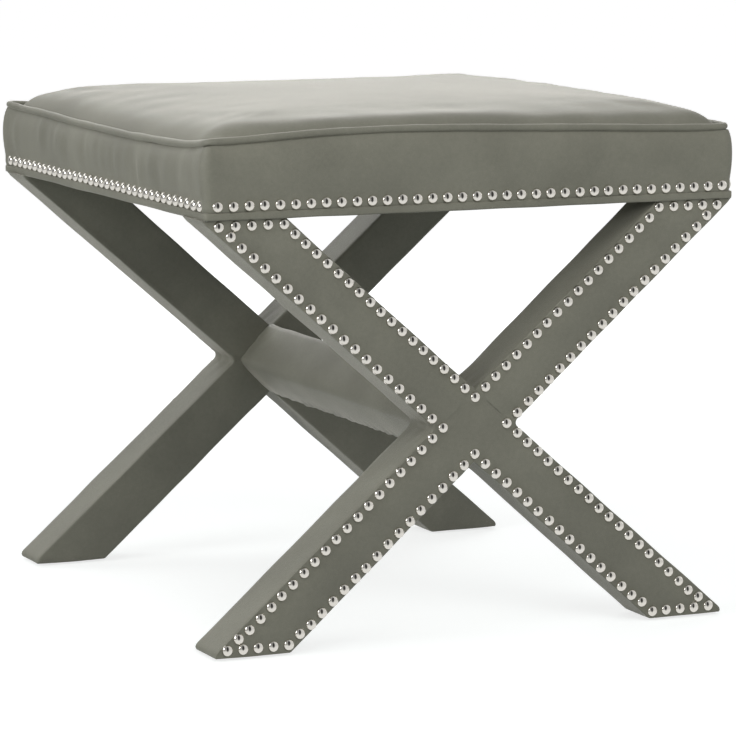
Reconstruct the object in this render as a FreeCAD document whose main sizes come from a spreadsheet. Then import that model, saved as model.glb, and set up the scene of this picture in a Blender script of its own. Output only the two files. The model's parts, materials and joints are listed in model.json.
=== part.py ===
import FreeCAD, Part
import math
import os

import Sketcher

# Upholstered ottoman on two X frames, in millimetres.
# +Z is up, X runs along the front, Y runs from front to rear,
# and the origin lies on the floor under the middle of the seat.

# Driving sizes: name, value, what it measures
SIZES = [
    ("seat_width", 540, "width over the base strip, along X"),
    ("seat_depth", 552, "depth over the base strip, along Y"),
    ("glide_height", 2.5, "height of a floor glide"),
    ("glide_diameter", 24, "diameter of a floor glide"),
    ("glide_pin_diameter", 3, "diameter of a glide's pin"),
    ("glide_pin_length", 14, "length of a glide's pin"),
    ("leg_height", 402, "height of an X frame, from foot patch to base strip"),
    ("leg_top_inset", 4, "step from the strip's end to the outer corner of a leg's top"),
    ("leg_foot_inset", 7, "step from the strip's end to the outer corner of a foot"),
    ("leg_setback", 3, "step from the strip's face back to the face of an X"),
    ("leg_cut", 76, "level length of the cut across a leg's top or foot"),
    ("leg_depth", 51, "depth of an X frame, covers included"),
    ("leg_cover", 2.5, "thickness of the padded cover on a leg"),
    ("foot_patch", 1.5, "thickness of the patch under a foot"),
    ("stretcher_step", 1, "step from a crook down to the stretcher's edge"),
    ("stretcher_cover", 2.5, "thickness of the padded cover on the stretcher"),
    ("base_panel", 6, "thickness of the base panel"),
    ("base_wrap", 0.8, "thickness of the fabric round the base panel"),
    ("base_lap", 12, "width of the wrap's lap on top of the panel"),
    ("base_corner", 5, "corner radius of the base strip"),
    ("rail_height", 32, "height of a seat rail"),
    ("rail_thickness", 20, "thickness of a seat rail"),
    ("frame_corner", 8, "corner radius of the seat frame, deck and foam"),
    ("deck_thickness", 9, "thickness of the seat deck"),
    ("block_side", 60, "side of a corner block along its rails"),
    ("block_height", 25, "height of a corner block"),
    ("fabric", 1, "thickness of the seat's fabric"),
    ("band_padding", 1.5, "padding behind the hem of a band"),
    ("band_hem", 11, "height of the flat hem that the nails hold"),
    ("band_height", 60.5, "height of a band, up to the welt"),
    ("band_bulge", 2.3, "how far a band swells past its hem"),
    ("band_tuck", 6, "how far a band's top edge is drawn in under the welt"),
    ("welt_diameter", 6.5, "diameter of the welt"),
    ("foam_edge", 9, "upright edge of the foam above the deck"),
    ("batting", 3, "thickness of the batting over the foam"),
    ("crown_height", 25, "rise of the seat's crown above the middle of the welt"),
    ("nail_head", 10, "diameter of a nail's head"),
    ("nail_dome", 3.4, "height of a nail's head"),
    ("nail_shank", 1.4, "diameter of a nail's shank"),
    ("nail_length", 8, "length of a nail's shank"),
    ("nail_margin", 5.4, "nail row to the edge of an X"),
    ("leg_nail_pitch", 14.5, "pitch of the nails on an X"),
    ("crook_nail_step", 3, "step of a side crook's nail out of its rows, towards the crook"),
    ("seat_nail_pitch", 15.15, "pitch of the nails on a band"),
    ("seat_nail_rise", 5.2, "nail row above the foot of a band"),
    ("seat_nail_corner", 12, "last nail to the corner of the seat"),
    ("bolt_diameter", 8, "diameter of a stretcher bolt"),
    ("bolt_head", 13, "diameter of a stretcher bolt's head"),
    ("bolt_head_height", 8, "height of a stretcher bolt's head"),
    ("insert_diameter", 12, "diameter of a threaded insert"),
    ("insert_length", 20, "length of a threaded insert"),
    ("dowel_diameter", 8, "diameter of a stretcher dowel"),
    ("dowel_reach", 20, "depth of a stretcher dowel in each piece"),
    ("dowel_offset", 16, "stretcher bolt to each dowel beside it"),
    ("rail_dowel_diameter", 6, "diameter of a rail dowel"),
    ("rail_dowel_reach", 15, "depth of a rail dowel in each rail"),
    ("rail_dowel_low", 9, "lower rail dowel above the foot of the rail"),
    ("rail_dowel_high", 23, "upper rail dowel above the foot of the rail"),
    ("screw_diameter", 4, "diameter of a wood screw"),
    ("screw_head", 8, "diameter of a wood screw's countersunk head"),
    ("screw_length", 35, "length of a deck or fixing screw"),
    ("leg_screw_length", 45, "length of a screw into a leg's top"),
    ("leg_screw_inset", 16, "leg screws to the inner corner of the leg's top"),
    ("leg_screw_gap", 20, "gap between the two screws of a leg"),
    ("block_screw_length", 40, "length of a corner block's screw"),
    ("block_screw_gap", 30, "gap between the two screws of a corner block"),
    ("deck_screw_spread", 190, "outer deck screws to the middle of their rail"),
    ("fixing_screw_spread", 95, "fixing screws to the middle of their rail"),
]

doc = FreeCAD.newDocument("Ottoman")
sheet = doc.addObject("Spreadsheet::Sheet", "Sizes")
for row, (alias, value, note) in enumerate(SIZES, start=1):
    sheet.set(f"A{row}", alias)
    sheet.set(f"B{row}", str(value))
    sheet.setAlias(f"B{row}", alias)
    sheet.set(f"C{row}", note)
doc.recompute()

SIDES = ("front", "rear")
HANDS = ("left", "right")


def number(text):
    """The value of an expression on the sheet."""
    return float(sheet.evalExpression(text))


# Expressions that several pieces share
HALF_WIDTH = "(Sizes.seat_width / 2)"
HALF_DEPTH = "(Sizes.seat_depth / 2)"
FOOT_Z = "Sizes.glide_height"
CORE_FOOT_Z = "(Sizes.glide_height + Sizes.foot_patch)"
LEG_TOP_Z = "(Sizes.glide_height + Sizes.leg_height)"
PANEL_Z = f"({LEG_TOP_Z} + Sizes.base_wrap)"
PANEL_TOP_Z = f"({PANEL_Z} + Sizes.base_panel)"
RAIL_Z = f"({PANEL_TOP_Z} + Sizes.base_wrap)"
DECK_Z = f"({RAIL_Z} + Sizes.rail_height)"
FOAM_Z = f"({DECK_Z} + Sizes.deck_thickness)"
FOAM_EDGE_Z = f"({FOAM_Z} + Sizes.foam_edge)"
HEM_Z = f"({RAIL_Z} + Sizes.band_hem)"
BAND_TOP_Z = f"({RAIL_Z} + Sizes.band_height)"
WELT_Z = f"({BAND_TOP_Z} + Sizes.welt_diameter / 2)"

# Legs: the leg that falls to the right runs from the top left to the bottom right foot
TOP_HALF = f"({HALF_WIDTH} - Sizes.leg_top_inset)"
FOOT_HALF = f"({HALF_WIDTH} - Sizes.leg_foot_inset)"
RUN_PER_FALL = f"(({TOP_HALF} + {FOOT_HALF} - Sizes.leg_cut) / Sizes.leg_height)"
SLANT = f"sqrt(1 + {RUN_PER_FALL}^2)"
LEG_SKIN = f"(Sizes.leg_cover * {SLANT})"
NAIL_SKIN = f"(Sizes.nail_margin * {SLANT})"
CROSS_Z = f"({LEG_TOP_Z} - ({TOP_HALF} - Sizes.leg_cut / 2) / {RUN_PER_FALL})"
X_FACE = f"({HALF_DEPTH} - Sizes.leg_setback)"
CORE_FACE = f"({X_FACE} - Sizes.leg_cover)"
CORE_MIDDLE = f"({X_FACE} - Sizes.leg_depth / 2)"
X_BACK = f"({X_FACE} - Sizes.leg_depth)"
CORE_BACK = f"({X_BACK} + Sizes.leg_cover)"

# Seat frame
FRAME_STEP = "(Sizes.fabric + Sizes.band_padding)"
FRAME_X = f"({HALF_WIDTH} - {FRAME_STEP})"
FRAME_Y = f"({HALF_DEPTH} - {FRAME_STEP})"
RAIL_X = f"({FRAME_X} - Sizes.rail_thickness)"
RAIL_Y = f"({FRAME_Y} - Sizes.rail_thickness)"
RAIL_MIDDLE_X = f"({FRAME_X} - Sizes.rail_thickness / 2)"
RAIL_MIDDLE_Y = f"({FRAME_Y} - Sizes.rail_thickness / 2)"

# Crown: insets from the welt where its sections lie, and how quickly it flattens
CROWN_INSETS = (0, 5, 12, 24, 42, 70, 115, 180)
CROWN_POWER = 6
# Share of a cover's thickness by which its inner sections also step inwards
CROWN_STEP = 0.7
# Shares of the height between hem and welt where the band's sections lie
BAND_SHARES = (0, 0.12, 0.3, 0.5, 0.7, 0.84, 0.94, 1)
TUCK_POWER = 8


def new_body(label):
    """An empty body with its label."""
    body = doc.addObject("PartDesign::Body", label)
    body.Label = label
    return body


def new_sketch(body, role, offset):
    """A sketch on one of the body's own planes, offset along the plane's normal."""
    planes = [plane for plane in body.Origin.OriginFeatures if plane.Role == role]
    sketch = body.newObject("Sketcher::SketchObject", body.Name + "_sketch")
    sketch.AttachmentSupport = [(planes[0], "")]
    sketch.MapMode = "FlatFace"
    sketch.setExpression("AttachmentOffset.Base.z", offset)
    return sketch


def bind(sketch, kind, geometry, point, text):
    """Hold one coordinate of a point to an expression."""
    index = sketch.addConstraint(Sketcher.Constraint(kind, -1, 1, geometry, point, number(text)))
    sketch.setExpression(f"Constraints[{index}]", text)


def add_polygon(sketch, corners):
    """A closed outline of straight lines through corners given as expressions."""
    points = [FreeCAD.Vector(number(x), number(y), 0) for x, y in corners]
    first = sketch.GeometryCount
    count = len(points)
    for index in range(count):
        sketch.addGeometry(Part.LineSegment(points[index], points[(index + 1) % count]))
    for index, (x, y) in enumerate(corners):
        following = first + (index + 1) % count
        sketch.addConstraint(Sketcher.Constraint("Coincident", first + index, 2, following, 1))
        bind(sketch, "DistanceX", first + index, 1, x)
        bind(sketch, "DistanceY", first + index, 1, y)


def add_rounded_rectangle(sketch, half_x, half_y, radius):
    """A rectangle about the origin with its corners rounded."""
    x, y, r = number(half_x), number(half_y), number(radius)
    flat_x, flat_y = f"({half_x} - {radius})", f"({half_y} - {radius})"
    ends = [
        ((f"-{flat_x}", f"-{half_y}"), (flat_x, f"-{half_y}")),
        ((half_x, f"-{flat_y}"), (half_x, flat_y)),
        ((flat_x, half_y), (f"-{flat_x}", half_y)),
        ((f"-{half_x}", flat_y), (f"-{half_x}", f"-{flat_y}")),
    ]
    centres = [(x - r, r - y), (x - r, y - r), (r - x, y - r), (r - x, r - y)]
    first = sketch.GeometryCount
    for quarter, (start, end) in enumerate(ends):
        line = [FreeCAD.Vector(number(px), number(py), 0) for px, py in (start, end)]
        sketch.addGeometry(Part.LineSegment(*line))
        circle = Part.Circle(FreeCAD.Vector(*centres[quarter], 0), FreeCAD.Vector(0, 0, 1), r)
        angle = (quarter - 1) * math.pi / 2
        sketch.addGeometry(Part.ArcOfCircle(circle, angle, angle + math.pi / 2))
    for quarter, (start, end) in enumerate(ends):
        line = first + 2 * quarter
        arc = line + 1
        following = first + 2 * ((quarter + 1) % 4)
        for point, (px, py) in ((1, start), (2, end)):
            bind(sketch, "DistanceX", line, point, px)
            bind(sketch, "DistanceY", line, point, py)
        sketch.addConstraint(Sketcher.Constraint("Coincident", line, 2, arc, 1))
        sketch.addConstraint(Sketcher.Constraint("Coincident", arc, 2, following, 1))
        index = sketch.addConstraint(Sketcher.Constraint("Radius", arc, r))
        sketch.setExpression(f"Constraints[{index}]", radius)


def add_pad(body, sketch, length):
    """Pad a sketch along its normal."""
    pad = body.newObject("PartDesign::Pad", body.Name + "_pad")
    pad.Profile = sketch
    pad.setExpression("Length", length)
    return pad


def add_loft(body, kind, sections):
    """Loft through rounded rectangles, each (half_x, half_y, radius, z)."""
    sketches = []
    for half_x, half_y, radius, z in sections:
        sketch = new_sketch(body, "XY_Plane", z)
        add_rounded_rectangle(sketch, half_x, half_y, radius)
        sketches.append(sketch)
    loft = body.newObject(kind, body.Name + "_loft")
    loft.Profile = sketches[0]
    loft.Sections = sketches[1:]
    loft.Ruled = True
    return loft


def plate(label, half_x, half_y, radius, z, thickness):
    """A level plate with rounded corners."""
    body = new_body(label)
    sketch = new_sketch(body, "XY_Plane", z)
    add_rounded_rectangle(sketch, half_x, half_y, radius)
    add_pad(body, sketch, thickness)
    return body


def upright_slab(label, side, inner, outer, *outlines):
    """Outlines in X and Z, padded between two distances from the middle plane on one side."""
    body = new_body(label)
    sketch = new_sketch(body, "XZ_Plane", inner if side == "front" else f"-{outer}")
    for corners in outlines:
        add_polygon(sketch, corners)
    add_pad(body, sketch, f"{outer} - {inner}")
    return body


def minus(label, base, *tools):
    """A piece with other pieces' shapes taken out of it."""
    cut = doc.addObject("Part::Cut", label)
    cut.Label = label
    cut.Base = base
    if len(tools) == 1:
        cut.Tool = tools[0]
    else:
        group = doc.addObject("Part::Compound", label + "_tools")
        group.Links = list(tools)
        cut.Tool = group
    return cut


def group_of_solids(label, solids):
    """Like solids kept in one piece."""
    feature = doc.addObject("Part::Feature", label)
    feature.Label = label
    feature.Shape = Part.makeCompound(solids)
    return feature


def turned(points):
    """A solid turned about Z from an outline of (radius, height) points."""
    corners = [FreeCAD.Vector(radius, 0, height) for radius, height in points]
    outline = Part.makePolygon(corners + corners[:1])
    return Part.Face(outline).revolve(FreeCAD.Vector(), FreeCAD.Vector(0, 0, 1), 360)


def set_along(solid, place, direction):
    """A copy of a solid with its Z axis turned to a direction and its origin at a place."""
    turn = FreeCAD.Rotation(FreeCAD.Vector(0, 0, 1), FreeCAD.Vector(*direction))
    copy = solid.copy()
    copy.Placement = FreeCAD.Placement(FreeCAD.Vector(*place), turn)
    return copy


def side_sign(side):
    """-1 on the front and left, 1 on the rear and right."""
    return -1 if side in ("front", "left") else 1


# Nails and screws, each modelled once with its head at the origin facing +Z
def nail_hole():
    """The hole that a nail's shank fills, open at the head's end."""
    mouth = number("Sizes.nail_dome")
    shank = number("Sizes.nail_shank / 2")
    length = number("Sizes.nail_length")
    return turned([(0, mouth), (shank, mouth), (shank, 2 * shank - length), (0, -length)])


def domed_nail():
    """A nail with a spherical cap for a head and a pointed shank."""
    head = number("Sizes.nail_head / 2")
    dome = number("Sizes.nail_dome")
    shank = number("Sizes.nail_shank / 2")
    length = number("Sizes.nail_length")
    ball = (head ** 2 + dome ** 2) / (2 * dome)
    half_way = math.asin(head / ball) / 2
    shoulder = FreeCAD.Vector(ball * math.sin(half_way), 0, ball * math.cos(half_way) + dome - ball)
    top = FreeCAD.Vector(0, 0, dome)
    rim = FreeCAD.Vector(head, 0, 0)
    cap = Part.Arc(top, shoulder, rim).toShape()
    below = [(head, 0), (shank, 0), (shank, 2 * shank - length), (0, -length), (0, dome)]
    lines = Part.makePolygon([FreeCAD.Vector(radius, 0, height) for radius, height in below])
    outline = Part.Wire([cap] + lines.Edges)
    return Part.Face(outline).revolve(FreeCAD.Vector(), FreeCAD.Vector(0, 0, 1), 360)


def countersunk_screw(length):
    """A wood screw with a flat countersunk head and a pointed end."""
    head = number("Sizes.screw_head / 2")
    shank = number("Sizes.screw_diameter / 2")
    sink = head - shank
    return turned([(0, 0), (head, 0), (shank, -sink), (shank, 2 * shank - length), (0, -length)])


def evenly(start, end, pitch):
    """Points from start towards end, the end left out, at about the pitch."""
    length = math.dist(start, end)
    count = max(1, round(length / pitch))
    return [
        tuple(a + (b - a) * index / count for a, b in zip(start, end))
        for index in range(count)
    ]


# Outlines of an X frame in X and Z
def leg_line(offset, z):
    """X on the leg that falls to the right, at a height and a level offset from its lower edge."""
    return f"({offset} - {TOP_HALF} + ({LEG_TOP_Z} - {z}) * {RUN_PER_FALL})"


def x_outline(skin, top, foot):
    """The outline of the X, drawn in by a level distance, between two heights."""
    near, far = skin, f"(Sizes.leg_cut - {skin})"
    half = f"(Sizes.leg_cut / 2 - {skin})"
    rise = f"({half} / {RUN_PER_FALL})"
    return [
        (leg_line(near, top), top),
        (leg_line(far, top), top),
        ("0", f"({CROSS_Z} + {rise})"),
        (f"-{leg_line(far, top)}", top),
        (f"-{leg_line(near, top)}", top),
        (half, CROSS_Z),
        (leg_line(far, foot), foot),
        (leg_line(near, foot), foot),
        ("0", f"({CROSS_Z} - {rise})"),
        (f"-{leg_line(near, foot)}", foot),
        (f"-{leg_line(far, foot)}", foot),
        (f"-{half}", CROSS_Z),
    ]


def leg_outline(foot_hand, top, foot):
    """The core of one leg between two heights, named for the side its foot stands on."""
    near, far = LEG_SKIN, f"(Sizes.leg_cut - {LEG_SKIN})"
    sign = "" if foot_hand == "right" else "-"
    return [
        (f"{sign}{leg_line(near, top)}", top),
        (f"{sign}{leg_line(far, top)}", top),
        (f"{sign}{leg_line(far, foot)}", foot),
        (f"{sign}{leg_line(near, foot)}", foot),
    ]


def crook_strip(crook):
    """The bent strip that covers the leg sides round one crook of the X."""
    outside = x_outline("0", LEG_TOP_Z, FOOT_Z)
    inside = x_outline(LEG_SKIN, LEG_TOP_Z, FOOT_Z)
    ends = {"top": (1, 2, 3), "right": (4, 5, 6), "bottom": (7, 8, 9), "left": (10, 11, 0)}[crook]
    return [outside[index] for index in ends] + [inside[index] for index in reversed(ends)]


def stretcher_outline(skin):
    """The stretcher's section, a lozenge on its corner, drawn in by a cover's thickness."""
    half = f"(Sizes.leg_cut / 2 - (Sizes.stretcher_step + {skin}) * {SLANT})"
    rise = f"({half} / {RUN_PER_FALL})"
    return [
        (f"-{half}", CROSS_Z),
        ("0", f"({CROSS_Z} + {rise})"),
        (half, CROSS_Z),
        ("0", f"({CROSS_Z} - {rise})"),
    ]


# Nails on the X frames and the bands
def x_nail_places():
    """X and Z of the nails that follow the outline of an X."""
    top = f"({LEG_TOP_Z} - Sizes.nail_margin)"
    foot = f"({FOOT_Z} + Sizes.nail_margin)"
    corners = [(number(x), number(z)) for x, z in x_outline(NAIL_SKIN, top, foot)]
    crossing, step = number(CROSS_Z), number("Sizes.crook_nail_step")
    for index, (x, z) in enumerate(corners):
        if math.isclose(z, crossing, abs_tol=0.01):
            corners[index] = (x + math.copysign(step, x), z)
    places = []
    for index, corner in enumerate(corners):
        following = corners[(index + 1) % len(corners)]
        places += evenly(corner, following, number("Sizes.leg_nail_pitch"))
    return places


def nail_row(half_length):
    """Places along one band, from corner to corner."""
    reach = number(half_length) - number("Sizes.seat_nail_corner")
    inner = evenly((-reach,), (reach,), number("Sizes.seat_nail_pitch"))
    return [place for (place,) in inner] + [reach]


def nails_and_holes(label, places, direction):
    """The nails at some places, and the holes that they fill."""
    nail, hole = domed_nail(), nail_hole()
    nails = [set_along(nail, place, direction) for place in places]
    holes = [set_along(hole, place, direction) for place in places]
    return group_of_solids(label, nails), group_of_solids(label + "_holes", holes)


def seat_nails(side):
    """The nails of one band, with their holes."""
    z = number(f"{RAIL_Z} + Sizes.seat_nail_rise")
    sign = side_sign(side)
    if side in SIDES:
        places = [(x, sign * number(HALF_DEPTH), z) for x in nail_row(HALF_WIDTH)]
        direction = (0, sign, 0)
    else:
        places = [(sign * number(HALF_WIDTH), y, z) for y in nail_row(HALF_DEPTH)]
        direction = (sign, 0, 0)
    return nails_and_holes(f"{side}_seat_nails", places, direction)


def x_nails(side):
    """The nails of one X frame, with their holes."""
    sign = side_sign(side)
    places = [(x, sign * number(X_FACE), z) for x, z in x_nail_places()]
    return nails_and_holes(f"{side}_x_nails", places, (0, sign, 0))


# Fasteners inside
def in_four_corners(x, y):
    """A place repeated in the four corners of the plan."""
    return [(sx * x, sy * y) for sx in (-1, 1) for sy in (-1, 1)]


def foot_glides():
    """Four glides, each with the pin that holds it."""
    disc = number("Sizes.glide_diameter / 2")
    high = number("Sizes.glide_height")
    ease = high / 3
    pin = number("Sizes.glide_pin_diameter / 2")
    top = high + number("Sizes.glide_pin_length")
    outline = [(0, 0), (disc - ease, 0), (disc, ease), (disc, high), (pin, high), (pin, top), (0, top)]
    glide = turned(outline)
    places = in_four_corners(number(f"{FOOT_HALF} - Sizes.leg_cut / 2"), number(CORE_MIDDLE))
    return group_of_solids("foot_glides", [set_along(glide, (x, y, 0), (0, 0, 1)) for x, y in places])


def stretcher_fasteners():
    """Bolts through the crossings, the threaded inserts they enter, and dowels beside them."""
    z = number(CROSS_Z)
    shank = number("Sizes.bolt_diameter / 2")
    head = number("Sizes.bolt_head / 2")
    head_height = number("Sizes.bolt_head_height")
    face, back = number(CORE_FACE), number(CORE_BACK)
    insert = number("Sizes.insert_length")
    length = face - back + insert
    bolt = turned([
        (0, 0),
        (head, 0),
        (head, -head_height),
        (shank, -head_height),
        (shank, -length),
        (0, -length),
    ])
    tube = turned([
        (shank, 0),
        (number("Sizes.insert_diameter / 2"), 0),
        (number("Sizes.insert_diameter / 2"), -insert),
        (shank, -insert),
    ])
    reach = number("Sizes.dowel_reach")
    offset = number("Sizes.dowel_offset")
    pin = Part.makeCylinder(number("Sizes.dowel_diameter / 2"), 2 * reach, FreeCAD.Vector(0, 0, -reach))
    bolts, tubes, pins = [], [], []
    for sign in (-1, 1):
        bolts.append(set_along(bolt, (0, sign * face, z), (0, sign, 0)))
        tubes.append(set_along(tube, (0, sign * back, z), (0, sign, 0)))
        for x in (-offset, offset):
            pins.append(set_along(pin, (x, sign * back, z), (0, sign, 0)))
    return (
        group_of_solids("stretcher_bolts", bolts),
        group_of_solids("stretcher_inserts", tubes),
        group_of_solids("stretcher_dowels", pins),
    )


def rail_dowels():
    """Dowels between the side rails and the front and rear rails."""
    reach = number("Sizes.rail_dowel_reach")
    radius = number("Sizes.rail_dowel_diameter / 2")
    pin = Part.makeCylinder(radius, 2 * reach, FreeCAD.Vector(0, 0, -reach))
    heights = [number(f"{RAIL_Z} + {rise}") for rise in ("Sizes.rail_dowel_low", "Sizes.rail_dowel_high")]
    places = in_four_corners(number(RAIL_MIDDLE_X), number(RAIL_Y))
    solids = [set_along(pin, (x, y, z), (0, 1, 0)) for x, y in places for z in heights]
    return group_of_solids("rail_dowels", solids)


def leg_top_screws():
    """Two screws down through the base panel into the top of each leg."""
    screw = countersunk_screw(number("Sizes.leg_screw_length"))
    x = number(f"{TOP_HALF} - Sizes.leg_cut + Sizes.leg_screw_inset")
    gap = number("Sizes.leg_screw_gap / 2")
    z = number(PANEL_TOP_Z)
    solids = []
    for step in (-gap, gap):
        for place in in_four_corners(x, number(CORE_MIDDLE) + step):
            solids.append(set_along(screw, (*place, z), (0, 0, 1)))
    return group_of_solids("leg_top_screws", solids)


def rail_screws(label, z, direction, spread, with_middle):
    """Screws set along the middle of the four rails."""
    screw = countersunk_screw(number("Sizes.screw_length"))
    reach = number(spread)
    along = (-reach, 0, reach) if with_middle else (-reach, reach)
    x, y = number(RAIL_MIDDLE_X), number(RAIL_MIDDLE_Y)
    places = [(step, sign * y) for step in along for sign in (-1, 1)]
    places += [(sign * x, step) for step in along for sign in (-1, 1)]
    solids = [set_along(screw, (*place, number(z)), (0, 0, direction)) for place in places]
    return group_of_solids(label, solids)


def corner_block_screws():
    """Two screws through each corner block, square to its long face, into the rails."""
    screw = countersunk_screw(number("Sizes.block_screw_length"))
    half_side = number("Sizes.block_side / 2")
    step = number("Sizes.block_screw_gap / 2") / math.sqrt(2)
    z = number(f"{RAIL_Z} + (Sizes.rail_dowel_low + Sizes.rail_dowel_high) / 2")
    x, y = number(RAIL_X) - half_side, number(RAIL_Y) - half_side
    solids = []
    for sx, sy in in_four_corners(1, 1):
        for move in (-step, step):
            place = (sx * (x + move), sy * (y - move), z)
            solids.append(set_along(screw, place, (-sx, -sy, 0)))
    return group_of_solids("corner_block_screws", solids)


# Seat frame and base
def long_rail(label, side):
    """The front or rear rail, full width, with its two outer corners rounded."""
    sign = "-" if side == "front" else ""
    body = new_body(label)
    sketch = new_sketch(body, "XY_Plane", RAIL_Z)
    add_polygon(sketch, [
        (f"-{FRAME_X}", f"{sign}{RAIL_Y}"),
        (FRAME_X, f"{sign}{RAIL_Y}"),
        (FRAME_X, f"{sign}{FRAME_Y}"),
        (f"-{FRAME_X}", f"{sign}{FRAME_Y}"),
    ])
    pad = add_pad(body, sketch, "Sizes.rail_height")
    doc.recompute()
    outer = number(FRAME_Y) - number("Sizes.rail_thickness") / 2
    names = []
    for index, edge in enumerate(pad.Shape.Edges, start=1):
        box = edge.BoundBox
        if box.ZLength > box.XLength + box.YLength and abs(box.Center.y) > outer:
            names.append(f"Edge{index}")
    fillet = body.newObject("PartDesign::Fillet", label + "_corners")
    fillet.Base = (pad, names)
    fillet.setExpression("Radius", "Sizes.frame_corner")
    return body


def side_rail(label, hand):
    """The left or right rail, between the front and rear rails."""
    box = doc.addObject("Part::Box", label)
    box.Label = label
    box.setExpression("Length", "Sizes.rail_thickness")
    box.setExpression("Width", f"2 * {RAIL_Y}")
    box.setExpression("Height", "Sizes.rail_height")
    box.setExpression("Placement.Base.x", f"-{FRAME_X}" if hand == "left" else RAIL_X)
    box.setExpression("Placement.Base.y", f"-{RAIL_Y}")
    box.setExpression("Placement.Base.z", RAIL_Z)
    return box


def corner_block(label, side, hand):
    """A triangular block in one corner of the rails."""
    sx = "-" if hand == "left" else ""
    sy = "-" if side == "front" else ""
    body = new_body(label)
    sketch = new_sketch(body, "XY_Plane", f"{DECK_Z} - Sizes.block_height")
    add_polygon(sketch, [
        (f"{sx}{RAIL_X}", f"{sy}{RAIL_Y}"),
        (f"{sx}({RAIL_X} - Sizes.block_side)", f"{sy}{RAIL_Y}"),
        (f"{sx}{RAIL_X}", f"{sy}({RAIL_Y} - Sizes.block_side)"),
    ])
    add_pad(body, sketch, "Sizes.block_height")
    return body


def wrapped_base():
    """The base panel and the fabric folded round it, before drilling."""
    half_x, half_y = f"({HALF_WIDTH} - Sizes.base_wrap)", f"({HALF_DEPTH} - Sizes.base_wrap)"
    radius = "(Sizes.base_corner - Sizes.base_wrap)"
    panel = plate("base_panel_blank", half_x, half_y, radius, PANEL_Z, "Sizes.base_panel")
    height = f"({RAIL_Z} - {LEG_TOP_Z})"
    block = plate("base_wrap_block", HALF_WIDTH, HALF_DEPTH, "Sizes.base_corner", LEG_TOP_Z, height)
    mouth_x, mouth_y = f"({HALF_WIDTH} - Sizes.base_lap)", f"({HALF_DEPTH} - Sizes.base_lap)"
    mouth = plate("base_wrap_mouth", mouth_x, mouth_y, "Sizes.base_corner", PANEL_TOP_Z, "Sizes.base_wrap")
    pocket = minus("base_wrap_pocket", block, panel)
    return panel, minus("base_wrap_blank", pocket, mouth)


# Soft seat
def crown_sections(cover):
    """Sections of the crown's upper surface, below covers of a given thickness."""
    half_x = f"({HALF_WIDTH} - Sizes.band_tuck - (Sizes.fabric + Sizes.welt_diameter) / 2)"
    half_y = f"({HALF_DEPTH} - Sizes.band_tuck - (Sizes.fabric + Sizes.welt_diameter) / 2)"
    sections = []
    for inset in CROWN_INSETS:
        share = f"(1 - (1 - {inset} / {half_x})^{CROWN_POWER})"
        step = f"({inset} + {CROWN_STEP} * {cover})"
        radius = f"({FRAME_STEP} + Sizes.frame_corner + {inset} / 3)"
        z = f"({WELT_Z} + Sizes.crown_height * {share} - {cover})"
        sections.append((f"({half_x} - {step})", f"({half_y} - {step})", radius, z))
    return sections


def crown_shell(label, outer, inner):
    """A domed sheet between two depths below the seat's upper surface."""
    body = new_body(label)
    add_loft(body, "PartDesign::AdditiveLoft", crown_sections(outer))
    add_loft(body, "PartDesign::SubtractiveLoft", crown_sections(inner))
    return body


def seat_foam():
    """The foam: an upright edge, a slope behind the welt and a crown."""
    body = new_body("seat_foam")
    edge = [(FRAME_X, FRAME_Y, "Sizes.frame_corner", z) for z in (FOAM_Z, FOAM_EDGE_Z)]
    crown = crown_sections("(Sizes.fabric + Sizes.batting)")
    add_loft(body, "PartDesign::AdditiveLoft", edge + crown)
    return body


def band_block(label, inset):
    """The seat's boxed side as a solid block: a flat hem, a swell, and an edge tucked under the welt."""
    body = new_body(label)
    radius = f"(Sizes.frame_corner + {FRAME_STEP} - {inset})"
    half_x, half_y = f"({HALF_WIDTH} - {inset})", f"({HALF_DEPTH} - {inset})"
    sections = [(half_x, half_y, radius, RAIL_Z)]
    for share in BAND_SHARES:
        swell = f"(Sizes.band_bulge * sin({share} * 180 deg) - Sizes.band_tuck * {share}^{TUCK_POWER})"
        z = f"({HEM_Z} + {share} * (Sizes.band_height - Sizes.band_hem))"
        sections.append((f"({half_x} + {swell})", f"({half_y} + {swell})", radius, z))
    add_loft(body, "PartDesign::AdditiveLoft", sections)
    return body


def band_wedge(side):
    """A prism over one quarter of the plan, out to beyond the seat's corners."""
    far_x, far_y = "Sizes.seat_width", "Sizes.seat_depth"
    corners = [(f"-{far_x}", f"-{far_y}"), (far_x, f"-{far_y}"), (far_x, far_y), (f"-{far_x}", far_y)]
    start = {"front": 0, "right": 1, "rear": 2, "left": 3}[side]
    body = new_body(f"{side}_band_wedge")
    sketch = new_sketch(body, "XY_Plane", RAIL_Z)
    add_polygon(sketch, [("0", "0"), corners[start], corners[(start + 1) % 4]])
    add_pad(body, sketch, "2 * Sizes.band_height")
    return body


def welt_run(name, turn, x, y, length):
    """One straight run of the welt."""
    run = doc.addObject("Part::Cylinder", name)
    run.Placement = FreeCAD.Placement(FreeCAD.Vector(), turn)
    run.setExpression("Radius", "Sizes.welt_diameter / 2")
    run.setExpression("Height", length)
    run.setExpression("Placement.Base.x", x)
    run.setExpression("Placement.Base.y", y)
    run.setExpression("Placement.Base.z", WELT_Z)
    return run


def welt_corner(name, quarter, x, y, bend):
    """One quarter bend of the welt."""
    corner = doc.addObject("Part::Torus", name)
    corner.Angle3 = 90
    turn = FreeCAD.Rotation(FreeCAD.Vector(0, 0, 1), 90 * quarter)
    corner.Placement = FreeCAD.Placement(FreeCAD.Vector(), turn)
    corner.setExpression("Radius1", bend)
    corner.setExpression("Radius2", "Sizes.welt_diameter / 2")
    corner.setExpression("Placement.Base.x", x)
    corner.setExpression("Placement.Base.y", y)
    corner.setExpression("Placement.Base.z", WELT_Z)
    return corner


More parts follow.
